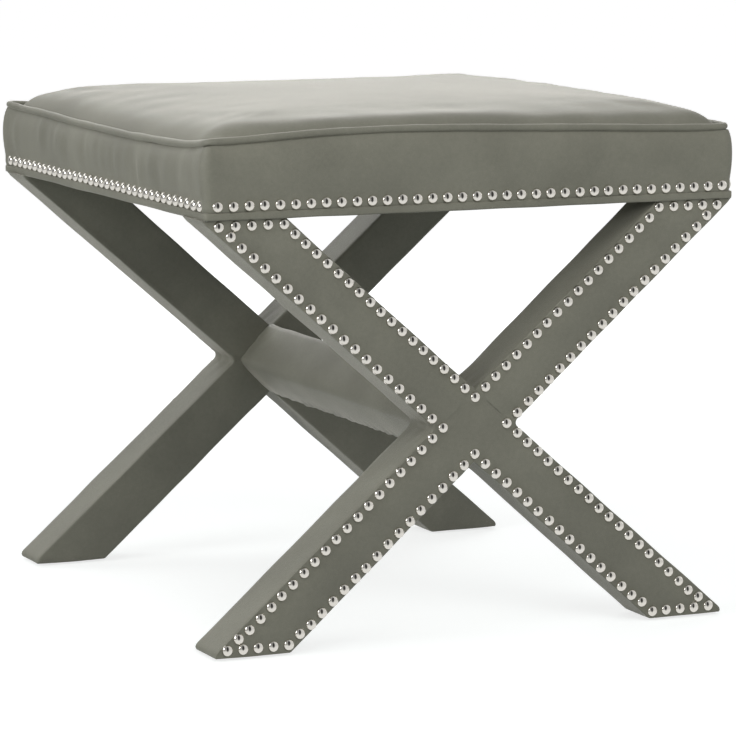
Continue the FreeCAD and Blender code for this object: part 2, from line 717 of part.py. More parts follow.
def top_welt():
    """The piping that runs right round the top edge of the bands."""
    path_x = f"({HALF_WIDTH} - Sizes.band_tuck - Sizes.fabric / 2)"
    path_y = f"({HALF_DEPTH} - Sizes.band_tuck - Sizes.fabric / 2)"
    bend = f"({FRAME_STEP} + Sizes.frame_corner)"
    flat_x, flat_y = f"({path_x} - {bend})", f"({path_y} - {bend})"
    along_x = FreeCAD.Rotation(FreeCAD.Vector(0, 1, 0), 90)
    along_y = FreeCAD.Rotation(FreeCAD.Vector(1, 0, 0), -90)
    welt = doc.addObject("Part::MultiFuse", "top_welt")
    welt.Label = "top_welt"
    welt.Shapes = [
        welt_run("welt_front", along_x, f"-{flat_x}", f"-{path_y}", f"2 * {flat_x}"),
        welt_run("welt_rear", along_x, f"-{flat_x}", path_y, f"2 * {flat_x}"),
        welt_run("welt_left", along_y, f"-{path_x}", f"-{flat_y}", f"2 * {flat_y}"),
        welt_run("welt_right", along_y, path_x, f"-{flat_y}", f"2 * {flat_y}"),
        welt_corner("welt_rear_right", 0, flat_x, flat_y, bend),
        welt_corner("welt_rear_left", 1, f"-{flat_x}", flat_y, bend),
        welt_corner("welt_front_left", 2, f"-{flat_x}", f"-{flat_y}", bend),
        welt_corner("welt_front_right", 3, flat_x, f"-{flat_y}", bend),
    ]
    return welt


# Sub-assemblies
def x_frames(leg_screws):
    """Both X frames, the stretcher between them and the glides under their feet."""
    glides = foot_glides()
    bolts, inserts, dowels = stretcher_fasteners()
    pieces = [glides, bolts, inserts, dowels]
    outline = x_outline("0", LEG_TOP_Z, FOOT_Z)
    core_section = stretcher_outline("Sizes.stretcher_cover")
    for side in SIDES:
        nails, holes = x_nails(side)
        face = upright_slab(f"{side}_x_face_blank", side, CORE_FACE, X_FACE, outline)
        pieces += [nails, minus(f"{side}_x_face_cover", face, holes)]
        pieces.append(upright_slab(f"{side}_x_inner_cover", side, X_BACK, CORE_BACK, outline, core_section))
        for crook in ("top", "right", "bottom", "left"):
            strip = crook_strip(crook)
            pieces.append(upright_slab(f"{side}_x_{crook}_strip", side, CORE_BACK, CORE_FACE, strip))
        for hand, other in (HANDS, HANDS[::-1]):
            name = f"{side}_{hand}_leg"
            blank = upright_slab(f"{name}_blank", side, CORE_BACK, CORE_FACE,
                                 leg_outline(hand, LEG_TOP_Z, CORE_FOOT_Z))
            inner, outer = (CORE_BACK, CORE_MIDDLE) if hand == "left" else (CORE_MIDDLE, CORE_FACE)
            lap = upright_slab(f"{name}_lap", side, inner, outer, leg_outline(other, LEG_TOP_Z, CORE_FOOT_Z))
            lapped = minus(f"{name}_lapped", blank, lap)
            pieces.append(minus(name, lapped, holes, bolts, dowels, leg_screws, glides))
            patch = upright_slab(f"{name}_patch_blank", side, CORE_BACK, CORE_FACE,
                                 leg_outline(hand, CORE_FOOT_Z, FOOT_Z))
            pieces.append(minus(f"{side}_{hand}_foot_patch", patch, glides))
    core = upright_slab("stretcher_blank", "rear", f"(0 - {CORE_BACK})", CORE_BACK, core_section)
    pieces.append(minus("stretcher_core", core, inserts, bolts, dowels))
    pieces.append(upright_slab("stretcher_cover", "rear", f"(0 - {X_BACK})", X_BACK,
                               stretcher_outline("0"), core_section))
    return pieces


def base_and_frame(leg_screws, holes):
    """The wrapped base panel and the seat's wooden frame."""
    fixings = rail_screws("seat_fixing_screws", LEG_TOP_Z, -1, "Sizes.fixing_screw_spread", False)
    deck_screws = rail_screws("deck_screws", FOAM_Z, 1, "Sizes.deck_screw_spread", True)
    dowels = rail_dowels()
    block_screws = corner_block_screws()
    pieces = [fixings, deck_screws, dowels, block_screws]
    panel, wrap = wrapped_base()
    pieces.append(minus("base_panel", panel, leg_screws, fixings))
    pieces.append(minus("base_wrap", wrap, leg_screws, fixings))
    fasteners = [dowels, block_screws, fixings, deck_screws]
    for side in SIDES:
        blank = long_rail(f"{side}_rail_blank", side)
        pieces.append(minus(f"{side}_rail", blank, holes[side], holes["left"], holes["right"], *fasteners))
        for hand in HANDS:
            block = corner_block(f"{side}_{hand}_block_blank", side, hand)
            pieces.append(minus(f"{side}_{hand}_corner_block", block, block_screws))
    for hand in HANDS:
        blank = side_rail(f"{hand}_rail_blank", hand)
        pieces.append(minus(f"{hand}_rail", blank, holes[hand], *fasteners))
    deck = plate("seat_deck_blank", FRAME_X, FRAME_Y, "Sizes.frame_corner", DECK_Z, "Sizes.deck_thickness")
    pieces.append(minus("seat_deck", deck, deck_screws))
    return pieces


def soft_seat(holes):
    """Foam, batting, top cover, welt, the padding round the frame and the four bands."""
    pieces = [seat_foam(), top_welt()]
    pieces.append(crown_shell("seat_batting", "Sizes.fabric", "(Sizes.fabric + Sizes.batting)"))
    pieces.append(crown_shell("seat_top_cover", "0", "Sizes.fabric"))
    outside, inside = band_block("band_outside", "0"), band_block("band_inside", "Sizes.fabric")
    frame = plate("padding_hollow", FRAME_X, FRAME_Y, "Sizes.frame_corner", RAIL_Z, "Sizes.band_height")
    above = plate("padding_limit", "Sizes.seat_width", "Sizes.seat_depth", "Sizes.frame_corner",
                  FOAM_EDGE_Z, "Sizes.band_height")
    ring = minus("padding_ring", minus("padding_tall", inside, frame), above)
    pieces.append(minus("side_padding", ring, *holes.values()))
    band = minus("band_ring", outside, inside)
    for side in SIDES + HANDS:
        panel = doc.addObject("Part::Common", f"{side}_band_panel")
        panel.Base = band
        panel.Tool = band_wedge(side)
        pieces.append(minus(f"{side}_band", panel, holes[side]))
    return pieces


def check(pieces):
    """Stop on any object that failed, and on a piece without sound solids."""
    for item in doc.Objects:
        if "Invalid" in item.State or "Error" in item.State:
            raise RuntimeError(f"{item.Label} failed: {item.State}")
    for piece in pieces:
        if piece.Shape.isNull() or not piece.Shape.isValid() or not piece.Shape.Solids:
            raise RuntimeError(f"{piece.Label} is not a sound solid")


def write(pieces):
    """Write each piece under its label."""
    os.makedirs("parts", exist_ok=True)
    for piece in pieces:
        piece.Shape.exportStep(f"parts/{piece.Label}.step")


def main():
    """Build every piece, check it and write it."""
    leg_screws = leg_top_screws()
    pieces = [leg_screws]
    holes = {}
    for side in SIDES + HANDS:
        nails, holes[side] = seat_nails(side)
        pieces.append(nails)
    pieces += x_frames(leg_screws)
    pieces += base_and_frame(leg_screws, holes)
    pieces += soft_seat(holes)
    doc.recompute()
    check(pieces)
    write(pieces)


main()
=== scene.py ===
"""Upholstered ottoman: fabric, nails and finishes round the packed frame, and the stage that shows it."""

import json
import math

import bmesh
import bpy
import numpy as np
from bpy.props import FloatProperty, FloatVectorProperty, IntProperty, PointerProperty
from mathutils import Matrix, Vector


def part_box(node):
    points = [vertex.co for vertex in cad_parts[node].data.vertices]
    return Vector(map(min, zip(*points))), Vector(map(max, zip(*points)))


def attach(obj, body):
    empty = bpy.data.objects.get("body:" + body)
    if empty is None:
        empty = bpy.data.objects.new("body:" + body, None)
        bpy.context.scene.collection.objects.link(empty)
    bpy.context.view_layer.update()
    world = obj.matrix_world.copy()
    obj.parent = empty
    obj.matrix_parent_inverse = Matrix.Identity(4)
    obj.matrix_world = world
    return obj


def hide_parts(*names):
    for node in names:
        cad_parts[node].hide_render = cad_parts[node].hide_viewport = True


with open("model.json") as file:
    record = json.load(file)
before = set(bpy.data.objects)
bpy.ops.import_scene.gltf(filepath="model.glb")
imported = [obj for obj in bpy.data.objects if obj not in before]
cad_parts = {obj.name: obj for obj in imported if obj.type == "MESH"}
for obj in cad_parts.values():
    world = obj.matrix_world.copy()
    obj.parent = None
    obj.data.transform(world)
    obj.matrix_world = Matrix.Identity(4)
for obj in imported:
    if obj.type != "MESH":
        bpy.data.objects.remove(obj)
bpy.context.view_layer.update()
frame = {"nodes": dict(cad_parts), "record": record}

bl_info = {
    "name": "Upholstered ottoman",
    "version": (1, 0, 0),
    "blender": (4, 5, 0),
    "location": "View3D > Sidebar > Ottoman",
    "description": "Covers the ottoman's frame with fabric and nails, and sets its stage",
    "category": "Object",
}

# Places taken from the frame, in metres
STRIP_LOW, STRIP_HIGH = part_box("base_wrap")
BAND_LOW, BAND_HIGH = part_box("front_band")
WELT_LOW, WELT_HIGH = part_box("top_welt")
COVER_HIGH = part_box("seat_top_cover")[1]
FOAM_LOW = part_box("seat_foam")[0]
X_LOW, X_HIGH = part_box("front_x_face_cover")
X_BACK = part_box("front_x_inner_cover")[1].y
FOOT_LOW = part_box("front_left_foot_patch")[0]
STRETCHER_LOW, STRETCHER_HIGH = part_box("stretcher_cover")
SEAT_HALF_X = STRIP_HIGH.x
SEAT_HALF_Y = STRIP_HIGH.y
WELT_RADIUS = (WELT_HIGH.z - WELT_LOW.z) / 2
WELT_Z = (WELT_HIGH.z + WELT_LOW.z) / 2
SIDES = {
    "front": Vector((0, -1, 0)),
    "rear": Vector((0, 1, 0)),
    "left": Vector((-1, 0, 0)),
    "right": Vector((1, 0, 0)),
}
FULL_TURN = 2 * math.pi
# How far the fabric stands out at each corner of the seat, by the signs of X and Y
CORNER_EARS = {(-1, 1): 0.0038, (-1, -1): 0.0012, (1, -1): 0.0004, (1, 1): 0.0015}
# How far the outer edge of each leg spreads at its end, by the signs of X and of the rise from the crossing
LEG_FLARE = {(-1, 1): 0.0045, (1, 1): 0.003, (-1, -1): 0.002, (1, -1): 0.0045}
# How far the hand-sewn seam under the cushion strays from level, as places along each side and lifts
SEAM_LIFT = {
    "front": ((-0.264, -0.001), (-0.218, 0.001), (-0.156, 0.005), (-0.079, 0.0065), (-0.002, 0.005),
              (0.074, 0.0023), (0.136, 0.0), (0.197, -0.002), (0.26, -0.003)),
    "rear": ((-0.27, -0.003), (-0.22, -0.004), (-0.1, -0.0025), (0.0, -0.0015), (0.1, -0.0005),
             (0.27, 0.0005)),
    "left": ((-0.276, -0.001), (-0.248, -0.004), (-0.198, -0.007), (-0.123, -0.0083), (-0.048, -0.0084),
             (0.102, -0.0066), (0.177, -0.0041), (0.276, -0.003)),
    "right": ((-0.276, -0.003), (-0.2, -0.001), (0.0, 0.001), (0.276, 0.0005)),
}


class SeatSizes(bpy.types.PropertyGroup):
    """Sizes of the seat's cushion, band, welt and base strip."""

    corner_round: FloatProperty(
        name="Corner round", description="Corner radius of the band and cushion",
        default=0.0085, min=0.002, unit="LENGTH", subtype="DISTANCE")
    strip_corner: FloatProperty(
        name="Strip corner", description="Corner radius of the base strip",
        default=0.0035, min=0.001, unit="LENGTH", subtype="DISTANCE")
    strip_edge: FloatProperty(
        name="Strip edge", description="Rounding of the base strip's edges",
        default=0.0016, min=0.0002, unit="LENGTH", subtype="DISTANCE")
    hem_height: FloatProperty(
        name="Hem height", description="Flat hem at the foot of the band that the nails hold",
        default=0.011, min=0, unit="LENGTH", subtype="DISTANCE")
    band_bulge: FloatProperty(
        name="Band bulge", description="How far the band swells past its hem",
        default=0.0023, unit="LENGTH", subtype="DISTANCE")
    band_tuck: FloatProperty(
        name="Band tuck", description="How far the band's top edge is drawn in under the welt",
        default=0.0042, unit="LENGTH", subtype="DISTANCE")
    band_thickness: FloatProperty(
        name="Band thickness", description="Thickness of the band's fabric and padding",
        default=0.0024, unit="LENGTH", subtype="DISTANCE")
    pucker_depth: FloatProperty(
        name="Pucker depth", description="Depth of the upright puckers on the left and right bands",
        default=0.0017, unit="LENGTH", subtype="DISTANCE")
    welt_corner: FloatProperty(
        name="Welt corner", description="Radius of the welt's middle line round a corner",
        default=0.008, min=0.002, unit="LENGTH", subtype="DISTANCE")
    welt_step: FloatProperty(
        name="Welt step", description="How far the welt stands out past its CAD line",
        default=0.0016, unit="LENGTH", subtype="DISTANCE")
    welt_waver: FloatProperty(
        name="Welt waver", description="How far the welt strays from its own seam line",
        default=0.0004, unit="LENGTH", subtype="DISTANCE")
    crown_rise: FloatProperty(
        name="Crown rise", description="Rise of the cushion above the middle of the welt",
        default=COVER_HIGH.z - WELT_Z, unit="LENGTH", subtype="DISTANCE")
    shoulder_rise: FloatProperty(
        name="Shoulder rise", description="Part of the crown's rise that its rounded rim takes",
        default=0.0115, unit="LENGTH", subtype="DISTANCE")
    shoulder_reach: FloatProperty(
        name="Shoulder reach", description="How far in from the rim most of the shoulder's rise is done",
        default=0.008, min=0.002, unit="LENGTH", subtype="DISTANCE")
    slope_rise: FloatProperty(
        name="Slope rise", description="Part of the crown's rise that the slope inside its rim takes",
        default=0.009, unit="LENGTH", subtype="DISTANCE")
    slope_reach: FloatProperty(
        name="Slope reach", description="How far in from the rim most of the slope's rise is done",
        default=0.045, min=0.005, unit="LENGTH", subtype="DISTANCE")
    swell_cap: FloatProperty(
        name="Swell cap", description="Furthest that the filling pushes a point of the cushion",
        default=0.0008, unit="LENGTH", subtype="DISTANCE")


class LegSizes(bpy.types.PropertyGroup):
    """Sizes of the covers on the X frames and the stretcher."""

    leg_cut: FloatProperty(
        name="Leg cut", description="Level length of the cut across a leg's top or foot",
        default=0.076, unit="LENGTH", subtype="DISTANCE")
    foot_half: FloatProperty(
        name="Foot half", description="Half the width across both feet of an X",
        default=0.263, unit="LENGTH", subtype="DISTANCE")
    nailed_edge: FloatProperty(
        name="Nailed edge", description="Rounding of the long edges of an X's nailed face",
        default=0.0013, min=0.0005, unit="LENGTH", subtype="DISTANCE")
    inner_edge: FloatProperty(
        name="Inner edge", description="Rounding of the long edges of an X's inner face",
        default=0.0022, min=0.0005, unit="LENGTH", subtype="DISTANCE")
    foot_edge: FloatProperty(
        name="Foot edge", description="Rounding of the edges under a foot",
        default=0.0011, min=0.0002, unit="LENGTH", subtype="DISTANCE")
    side_crook: FloatProperty(
        name="Side crook", description="How far the fabric bridges the left and right crooks of an X",
        default=0.008, min=0.0005, unit="LENGTH", subtype="DISTANCE")
    level_crook: FloatProperty(
        name="Level crook", description="How far the fabric bridges the upper and lower crooks of an X",
        default=0.0025, min=0.0005, unit="LENGTH", subtype="DISTANCE")
    foot_tip: FloatProperty(
        name="Foot tip", description="How far the rounding of a foot's pointed tip reaches along its faces",
        default=0.009, min=0.0005, unit="LENGTH", subtype="DISTANCE")
    side_padding: FloatProperty(
        name="Side padding", description="Padding under the fabric on the outer sides of the legs",
        default=0.0014, unit="LENGTH", subtype="DISTANCE")
    face_swell: FloatProperty(
        name="Face swell", description="How far a leg's face swells between its rows of nails",
        default=0.0012, unit="LENGTH", subtype="DISTANCE")
    nail_dent: FloatProperty(
        name="Nail dent", description="How far a nail draws the fabric in",
        default=0.0006, unit="LENGTH", subtype="DISTANCE")
    unevenness: FloatProperty(
        name="Unevenness", description="How far hand work leaves the fabric from true",
        default=0.0003, unit="LENGTH", subtype="DISTANCE")
    stretcher_fill: FloatProperty(
        name="Stretcher fill", description="Height of the stretcher's puffy wrap over that of its CAD shape",
        default=1.17, min=1)
    stretcher_round: FloatProperty(
        name="Stretcher round", description="Rounding of the stretcher's long edges",
        default=0.007, unit="LENGTH", subtype="DISTANCE")
    stretcher_swell: FloatProperty(
        name="Stretcher swell", description="How far the stretcher's faces swell",
        default=0.0022, unit="LENGTH", subtype="DISTANCE")
    gather_depth: FloatProperty(
        name="Gather depth", description="Depth of the gathers along the stretcher's lower edge",
        default=0.0014, unit="LENGTH", subtype="DISTANCE")


class NailSizes(bpy.types.PropertyGroup):
    """Sizes of the decorative nails."""

    head_diameter: FloatProperty(
        name="Head diameter", description="Diameter of a nail's head",
        default=0.0106, unit="LENGTH", subtype="DISTANCE")
    dome_height: FloatProperty(
        name="Dome height", description="Height of a nail's head",
        default=0.0036, unit="LENGTH", subtype="DISTANCE")
    rim_height: FloatProperty(
        name="Rim height", description="Height of the upright rim under the dome",
        default=0.0005, unit="LENGTH", subtype="DISTANCE")
    foot_rise: FloatProperty(
        name="Foot rise", description="How far the nails along a foot stand above their CAD places",
        default=0.0023, unit="LENGTH", subtype="DISTANCE")
    segments: IntProperty(name="Segments", description="Faces round a nail's head", default=14, min=8)
    shift: FloatProperty(
        name="Shift", description="How far a hand-set nail strays from its place",
        default=0.0003, unit="LENGTH", subtype="DISTANCE")
    tilt: FloatProperty(
        name="Tilt", description="How far a hand-set nail leans",
        default=math.radians(3), unit="ROTATION", subtype="ANGLE")


class FinishColours(bpy.types.PropertyGroup):
    """Colours of the finishes."""

    cloth: FloatVectorProperty(
        name="Cloth", description="Colour of the upholstery cloth",
        default=(0.231, 0.228, 0.183), min=0, max=1, size=3, subtype="COLOR")
    cloth_shade: FloatVectorProperty(
        name="Cloth shade", description="Colour of the cloth where its nap lies the other way",
        default=(0.193, 0.191, 0.153), min=0, max=1, size=3, subtype="COLOR")
    thread_pitch: FloatProperty(
        name="Thread pitch", description="Distance between two threads of the cloth",
        default=0.0011, unit="LENGTH", subtype="DISTANCE")
    nail: FloatVectorProperty(
        name="Nail", description="Colour of the polished nails",
        default=(0.80, 0.775, 0.715), min=0, max=1, size=3, subtype="COLOR")
    wood: FloatVectorProperty(
        name="Wood", description="Colour of the frame's timber",
        default=(0.42, 0.27, 0.14), min=0, max=1, size=3, subtype="COLOR")
    board: FloatVectorProperty(
        name="Board", description="Colour of the plywood boards",
        default=(0.47, 0.32, 0.18), min=0, max=1, size=3, subtype="COLOR")
    steel: FloatVectorProperty(
        name="Steel", description="Colour of the screws and bolts",
        default=(0.58, 0.55, 0.48), min=0, max=1, size=3, subtype="COLOR")
    glide: FloatVectorProperty(
        name="Glide", description="Colour of the floor glides",
        default=(0.016, 0.016, 0.016), min=0, max=1, size=3, subtype="COLOR")


class StageSizes(bpy.types.PropertyGroup):
    """The camera's place, the strength of the lamps and the colour of the floor."""

    camera_place: FloatVectorProperty(
        name="Camera place", description="Where the camera stands",
        default=(-1.505, -3.405, 0.752), size=3, unit="LENGTH", subtype="TRANSLATION")
    camera_azimuth: FloatProperty(
        name="Camera azimuth", description="Turn of the camera about the upright axis",
        default=math.radians(-24.02), unit="ROTATION", subtype="ANGLE")
    camera_elevation: FloatProperty(
        name="Camera elevation", description="Angle of the camera above the horizon",
        default=math.radians(8.12), unit="ROTATION", subtype="ANGLE")
    lens: FloatProperty(
        name="Lens", description="Focal length in millimetres", default=184.4, unit="CAMERA")
    left_power: FloatProperty(
        name="Left lamp", description="Power of the softbox at the left", default=34, unit="POWER")
    front_power: FloatProperty(
        name="Front lamp", description="Power of the softbox high at the front", default=22, unit="POWER")
    right_power: FloatProperty(
        name="Right lamp", description="Power of the weak softbox at the right", default=2, unit="POWER")
    rear_power: FloatProperty(
        name="Rear lamp", description="Power of the softbox high at the rear", default=20, unit="POWER")
    back_power: FloatProperty(
        name="Back lamp", description="Power of the softbox low behind the seat", default=17, unit="POWER")
    rear_left_power: FloatProperty(
        name="Rear left lamp", description="Power of the softbox behind the left corner",
        default=8, unit="POWER")
    low_power: FloatProperty(
        name="Low lamp", description="Power of the softbox low at the front", default=27, unit="POWER")
    sky: FloatProperty(name="Sky", description="Light from all round the stage", default=0.0, min=0)
    floor_colour: FloatVectorProperty(
        name="Floor", description="Colour of the floor",
        default=(0.43, 0.46, 0.45), min=0, max=1, size=3, subtype="COLOR")


class Wire:
    """A node's output socket. Python arithmetic on it adds Math nodes."""

    def __init__(self, graph, socket):
        self.graph = graph
        self.socket = socket

    def out(self, name):
        """Another output of the same node."""
        return Wire(self.graph, self.socket.node.outputs[name])

    def maths(self, operation, *others):
        """This value and others joined in one Math node."""
        return self.graph.node("ShaderNodeMath", {"operation": operation}, dict(enumerate((self, *others))))

    def __add__(self, other):
        return self.maths("ADD", other)

    def __mul__(self, other):
        return self.maths("MULTIPLY", other)

    def __sub__(self, other):
        return self.maths("SUBTRACT", other)

    def __rsub__(self, other):
        return self.graph.node("ShaderNodeMath", {"operation": "SUBTRACT"}, {0: other, 1: self})

    def __gt__(self, other):
        return self.maths("GREATER_THAN", other)

    def __abs__(self):
        return self.maths("ABSOLUTE")

    __radd__ = __add__
    __rmul__ = __mul__


class Graph:
    """A node tree that is filled one node at a time."""

    def __init__(self, owner):
        owner.use_nodes = True
        self.tree = owner.node_tree
        self.tree.nodes.clear()

    def node(self, kind, settings=None, inputs=None):
        """Add a node, make its settings, then give its sockets their values or links."""
        made = self.tree.nodes.new(kind)
        for name, value in (settings or {}).items():
            setattr(made, name, value)
        for name, value in (inputs or {}).items():
            if isinstance(value, Wire):
                self.tree.links.new(value.socket, made.inputs[name])
            else:
                made.inputs[name].default_value = value
        return Wire(self, made.outputs[0]) if made.outputs else None

    def blend(self, share, first, second, way="MIX"):
        """A colour between two others, or one laid over the other in another way."""
        settings = {"data_type": "RGBA", "blend_type": way}
        return self.node("ShaderNodeMix", settings, {0: share, 6: first, 7: second}).out(2)

    def ease(self, value, start, end, first=0.0, last=1.0):
        """A smooth change from a first number to a last one, as a value goes from start to end."""
        return self.node("ShaderNodeMapRange", {"interpolation_type": "SMOOTHSTEP"}, {
            "Value": value, "From Min": start, "From Max": end, "To Min": first, "To Max": last})

    def seen(self):
        """1 for rays from the camera, off shiny surfaces or through glass, and 0 for the rest."""
        rays = self.node("ShaderNodeLightPath")
        shown = rays.out("Is Camera Ray").maths("MAXIMUM", rays.out("Is Glossy Ray"))
        return shown.maths("MAXIMUM", rays.out("Is Transmission Ray"))

    def noise(self, place, scale, detail, roughness):
        """Smooth noise from 0 to 1 at a place."""
        return self.node("ShaderNodeTexNoise", {}, {
            "Vector": place, "Scale": scale, "Detail": detail, "Roughness": roughness})

    def bump(self, height, strength, distance):
        """Normals of a height."""
        return self.node("ShaderNodeBump", {}, {
            "Height": height, "Strength": strength, "Distance": distance})

    def surface(self, **sockets):
        """Close a material with a Principled shader whose sockets are named in words_with_lines."""
        named = {name.replace("_", " "): value for name, value in sockets.items()}
        shader = self.node("ShaderNodeBsdfPrincipled", {}, named)
        self.node("ShaderNodeOutputMaterial", {}, {"Surface": shader})


def opaque(colour, factor=1.0):
    """A colour as a socket takes it, brighter or darker by a factor."""
    return (*(channel * factor for channel in colour), 1)


def grey(level):
    """A grey as a socket takes it."""
    return (level, level, level, 1)


def new_material(name):
    """A new material and its empty graph."""
    material = bpy.data.materials.new(name)
    return material, Graph(material)


def made_once(fill):
    """Make a function that fills a graph give the material of its name, made at the first call."""

    def finish(colours):
        found = bpy.data.materials.get(fill.__name__)
        if found is not None:
            return found
        material, graph = new_material(fill.__name__)
        fill(graph, graph.node("ShaderNodeTexCoord").out("Object"), colours)
        return material

    return finish


@made_once
def upholstery_cloth(graph, place, colours):
    """Plain woven cloth with a soft nap."""
    along = graph.node("ShaderNodeSeparateXYZ", {}, {0: place})
    turned = graph.node("ShaderNodeSeparateXYZ", {}, {0: place.out("Normal")})
    flat_enough = 0.85
    level = abs(turned.out("Z")) > flat_enough
    sideways = (abs(turned.out("X")) > abs(turned.out("Y"))) * (1 - level)
    across = along.out("X") + (along.out("Y") - along.out("X")) * sideways
    upward = along.out("Z") + (along.out("Y") - along.out("Z")) * level
    turns = FULL_TURN / colours.thread_pitch
    weave = (across * turns).maths("SINE") * (upward * turns).maths("SINE")
    fuzz = graph.noise(place, scale=1500, detail=2.0, roughness=0.6)
    slub = graph.noise(place, scale=260, detail=2.0, roughness=0.6)
    nap = graph.noise(place, scale=11, detail=3.0, roughness=0.55)
    tone = graph.blend(graph.ease(nap, 0.32, 0.68), opaque(colours.cloth_shade), opaque(colours.cloth))
    thread = weave * 0.10 + (fuzz - 0.5) * 0.34 + (slub - 0.5) * 0.16 + 0.5
    thread_shade = graph.blend(thread, grey(0.0), grey(1.0))
    thread_show = 0.8
    height = weave * 0.5 + fuzz * 0.7 + slub * 0.5
    graph.surface(
        Base_Color=graph.blend(thread_show, tone, thread_shade, "SOFT_LIGHT"),
        Roughness=0.5 + fuzz * 0.16,
        Normal=graph.bump(height, strength=0.25, distance=0.0003),
        Specular_IOR_Level=0.5,
        Sheen_Weight=0.5,
        Sheen_Roughness=0.32,
        Sheen_Tint=(1.0, 0.965, 0.87, 1),
    )


@made_once
def polished_nails(graph, place, colours):
    """Bright polished metal with faint handling marks."""
    marks = graph.noise(place, scale=900, detail=3.0, roughness=0.6)
    cloud = graph.noise(place, scale=60, detail=2.0, roughness=0.5)
    colour = graph.blend(cloud, opaque(colours.nail, 0.93), opaque(colours.nail))
    graph.surface(
        Base_Color=colour,
        Metallic=1.0,
        Roughness=0.12 + marks * 0.06,
        Normal=graph.bump(marks, strength=0.05, distance=0.0002),
    )


@made_once
def frame_timber(graph, place, colours):
    """Planed timber with straight grain."""
    stretched = graph.node("ShaderNodeMapping", {}, {"Vector": place, "Scale": (9.0, 9.0, 1.0)})
    rings = graph.node("ShaderNodeTexWave", {"wave_type": "RINGS", "rings_direction": "Z"}, {
        "Vector": stretched, "Scale": 3.0, "Distortion": 5.0, "Detail": 3.0, "Detail Scale": 1.4})
    pores = graph.noise(stretched, scale=120, detail=3.0, roughness=0.65)
    share = rings.out("Fac") * 0.6 + pores * 0.4
    colour = graph.blend(share, opaque(colours.wood, 0.62), opaque(colours.wood, 1.12))
    graph.surface(
        Base_Color=colour,
        Roughness=0.5 + pores * 0.25,
        Normal=graph.bump(pores + rings.out("Fac") * 0.4, strength=0.2, distance=0.0005),
        Specular_IOR_Level=0.35,
    )


@made_once
def plywood_board(graph, place, colours):
    """Plywood with its plies on edge and a rotary-cut face."""
    height = graph.node("ShaderNodeSeparateXYZ", {}, {0: place}).out("Z")
    two_plies = 0.003
    plies = (height * (FULL_TURN / two_plies)).maths("SINE") * 0.5 + 0.5
    stretched = graph.node("ShaderNodeMapping", {}, {"Vector": place, "Scale": (1.2, 8.0, 8.0)})
    figure = graph.noise(stretched, scale=14, detail=4.0, roughness=0.6)
    colour = graph.blend(plies * 0.4 + figure * 0.6, opaque(colours.board, 0.66), opaque(colours.board, 1.1))
    graph.surface(
        Base_Color=colour,
        Roughness=0.55 + figure * 0.25,
        Normal=graph.bump(figure, strength=0.15, distance=0.0004),
        Specular_IOR_Level=0.3,
    )


@made_once
def screw_steel(graph, place, colours):
    """Zinc-plated steel with a satin finish."""
    bloom = graph.noise(place, scale=140, detail=3.0, roughness=0.6)
    colour = graph.blend(bloom, opaque(colours.steel, 0.78), opaque(colours.steel, 1.1))
    graph.surface(
        Base_Color=colour,
        Metallic=1.0,
        Roughness=0.28 + bloom * 0.2,
        Normal=graph.bump(bloom, strength=0.06, distance=0.0002),
    )


@made_once
def glide_plastic(graph, place, colours):
    """Black moulded plastic, scuffed where it meets the floor."""
    grain = graph.noise(place, scale=1200, detail=2.0, roughness=0.5)
    scuff = graph.noise(place, scale=220, detail=4.0, roughness=0.7)
    colour = graph.blend(scuff * 0.5, opaque(colours.glide), opaque(colours.glide, 4.0))
    graph.surface(
        Base_Color=colour,
        Roughness=0.42 + scuff * 0.25,
        Normal=graph.bump(grain, strength=0.12, distance=0.0003),
    )


def added(primitive, **placing):
    """Deselect everything, add one primitive, put its place in its mesh and give its object back."""
    bpy.ops.object.select_all(action="DESELECT")
    primitive(**placing)
    bpy.ops.object.transform_apply(location=True, rotation=True, scale=True)
    return bpy.context.active_object


def pick(piece, kind, test):
    """Select the verts, edges or faces of a piece in edit mode that a test accepts."""
    bpy.ops.mesh.select_mode(type=kind[:-1].upper())
    bpy.ops.mesh.select_all(action="DESELECT")
    shell = bmesh.from_edit_mesh(piece.data)
    for part in getattr(shell, kind):
        if test(part):
            part.select_set(True)
    shell.select_flush_mode()
    bmesh.update_edit_mesh(piece.data)


def round_edges(piece, test, offset, segments):
    """Bevel the edges of a piece in edit mode that a test accepts."""
    pick(piece, "edges", test)
    bpy.ops.mesh.bevel(offset=offset, segments=segments, affect="EDGES")


def split_edges(piece, longer_than, cuts):
    """Divide every edge of a piece in edit mode above a length."""
    pick(piece, "edges", lambda edge: edge.calc_length() > longer_than)
    bpy.ops.mesh.subdivide(number_cuts=cuts)


def upright(edge):
    """Whether an edge stands along Z."""
    run = edge.verts[0].co - edge.verts[1].co
    nearly_all = 0.99
    return abs(run.z) > nearly_all * run.length


def use_modifier(piece, kind, **settings):
    """Give a piece a modifier and apply it."""
    modifier = piece.modifiers.new(kind.lower(), kind)
    for name, value in settings.items():
        setattr(modifier, name, value)
    bpy.ops.object.modifier_apply(modifier=modifier.name)


def read_points(mesh, name="co"):
    """The points or normals of a mesh as rows."""
    rows = np.empty(len(mesh.vertices) * 3, np.float32)
    mesh.vertices.foreach_get(name, rows)
    return rows.reshape(-1, 3).astype(float)


def move_points(piece, mover):
    """Hand a piece's points and normals to a function and write back the points that it gives."""
    moved = mover(read_points(piece.data), read_points(piece.data, "normal"))
    piece.data.vertices.foreach_set("co", moved.astype(np.float32).ravel())
    piece.data.update()


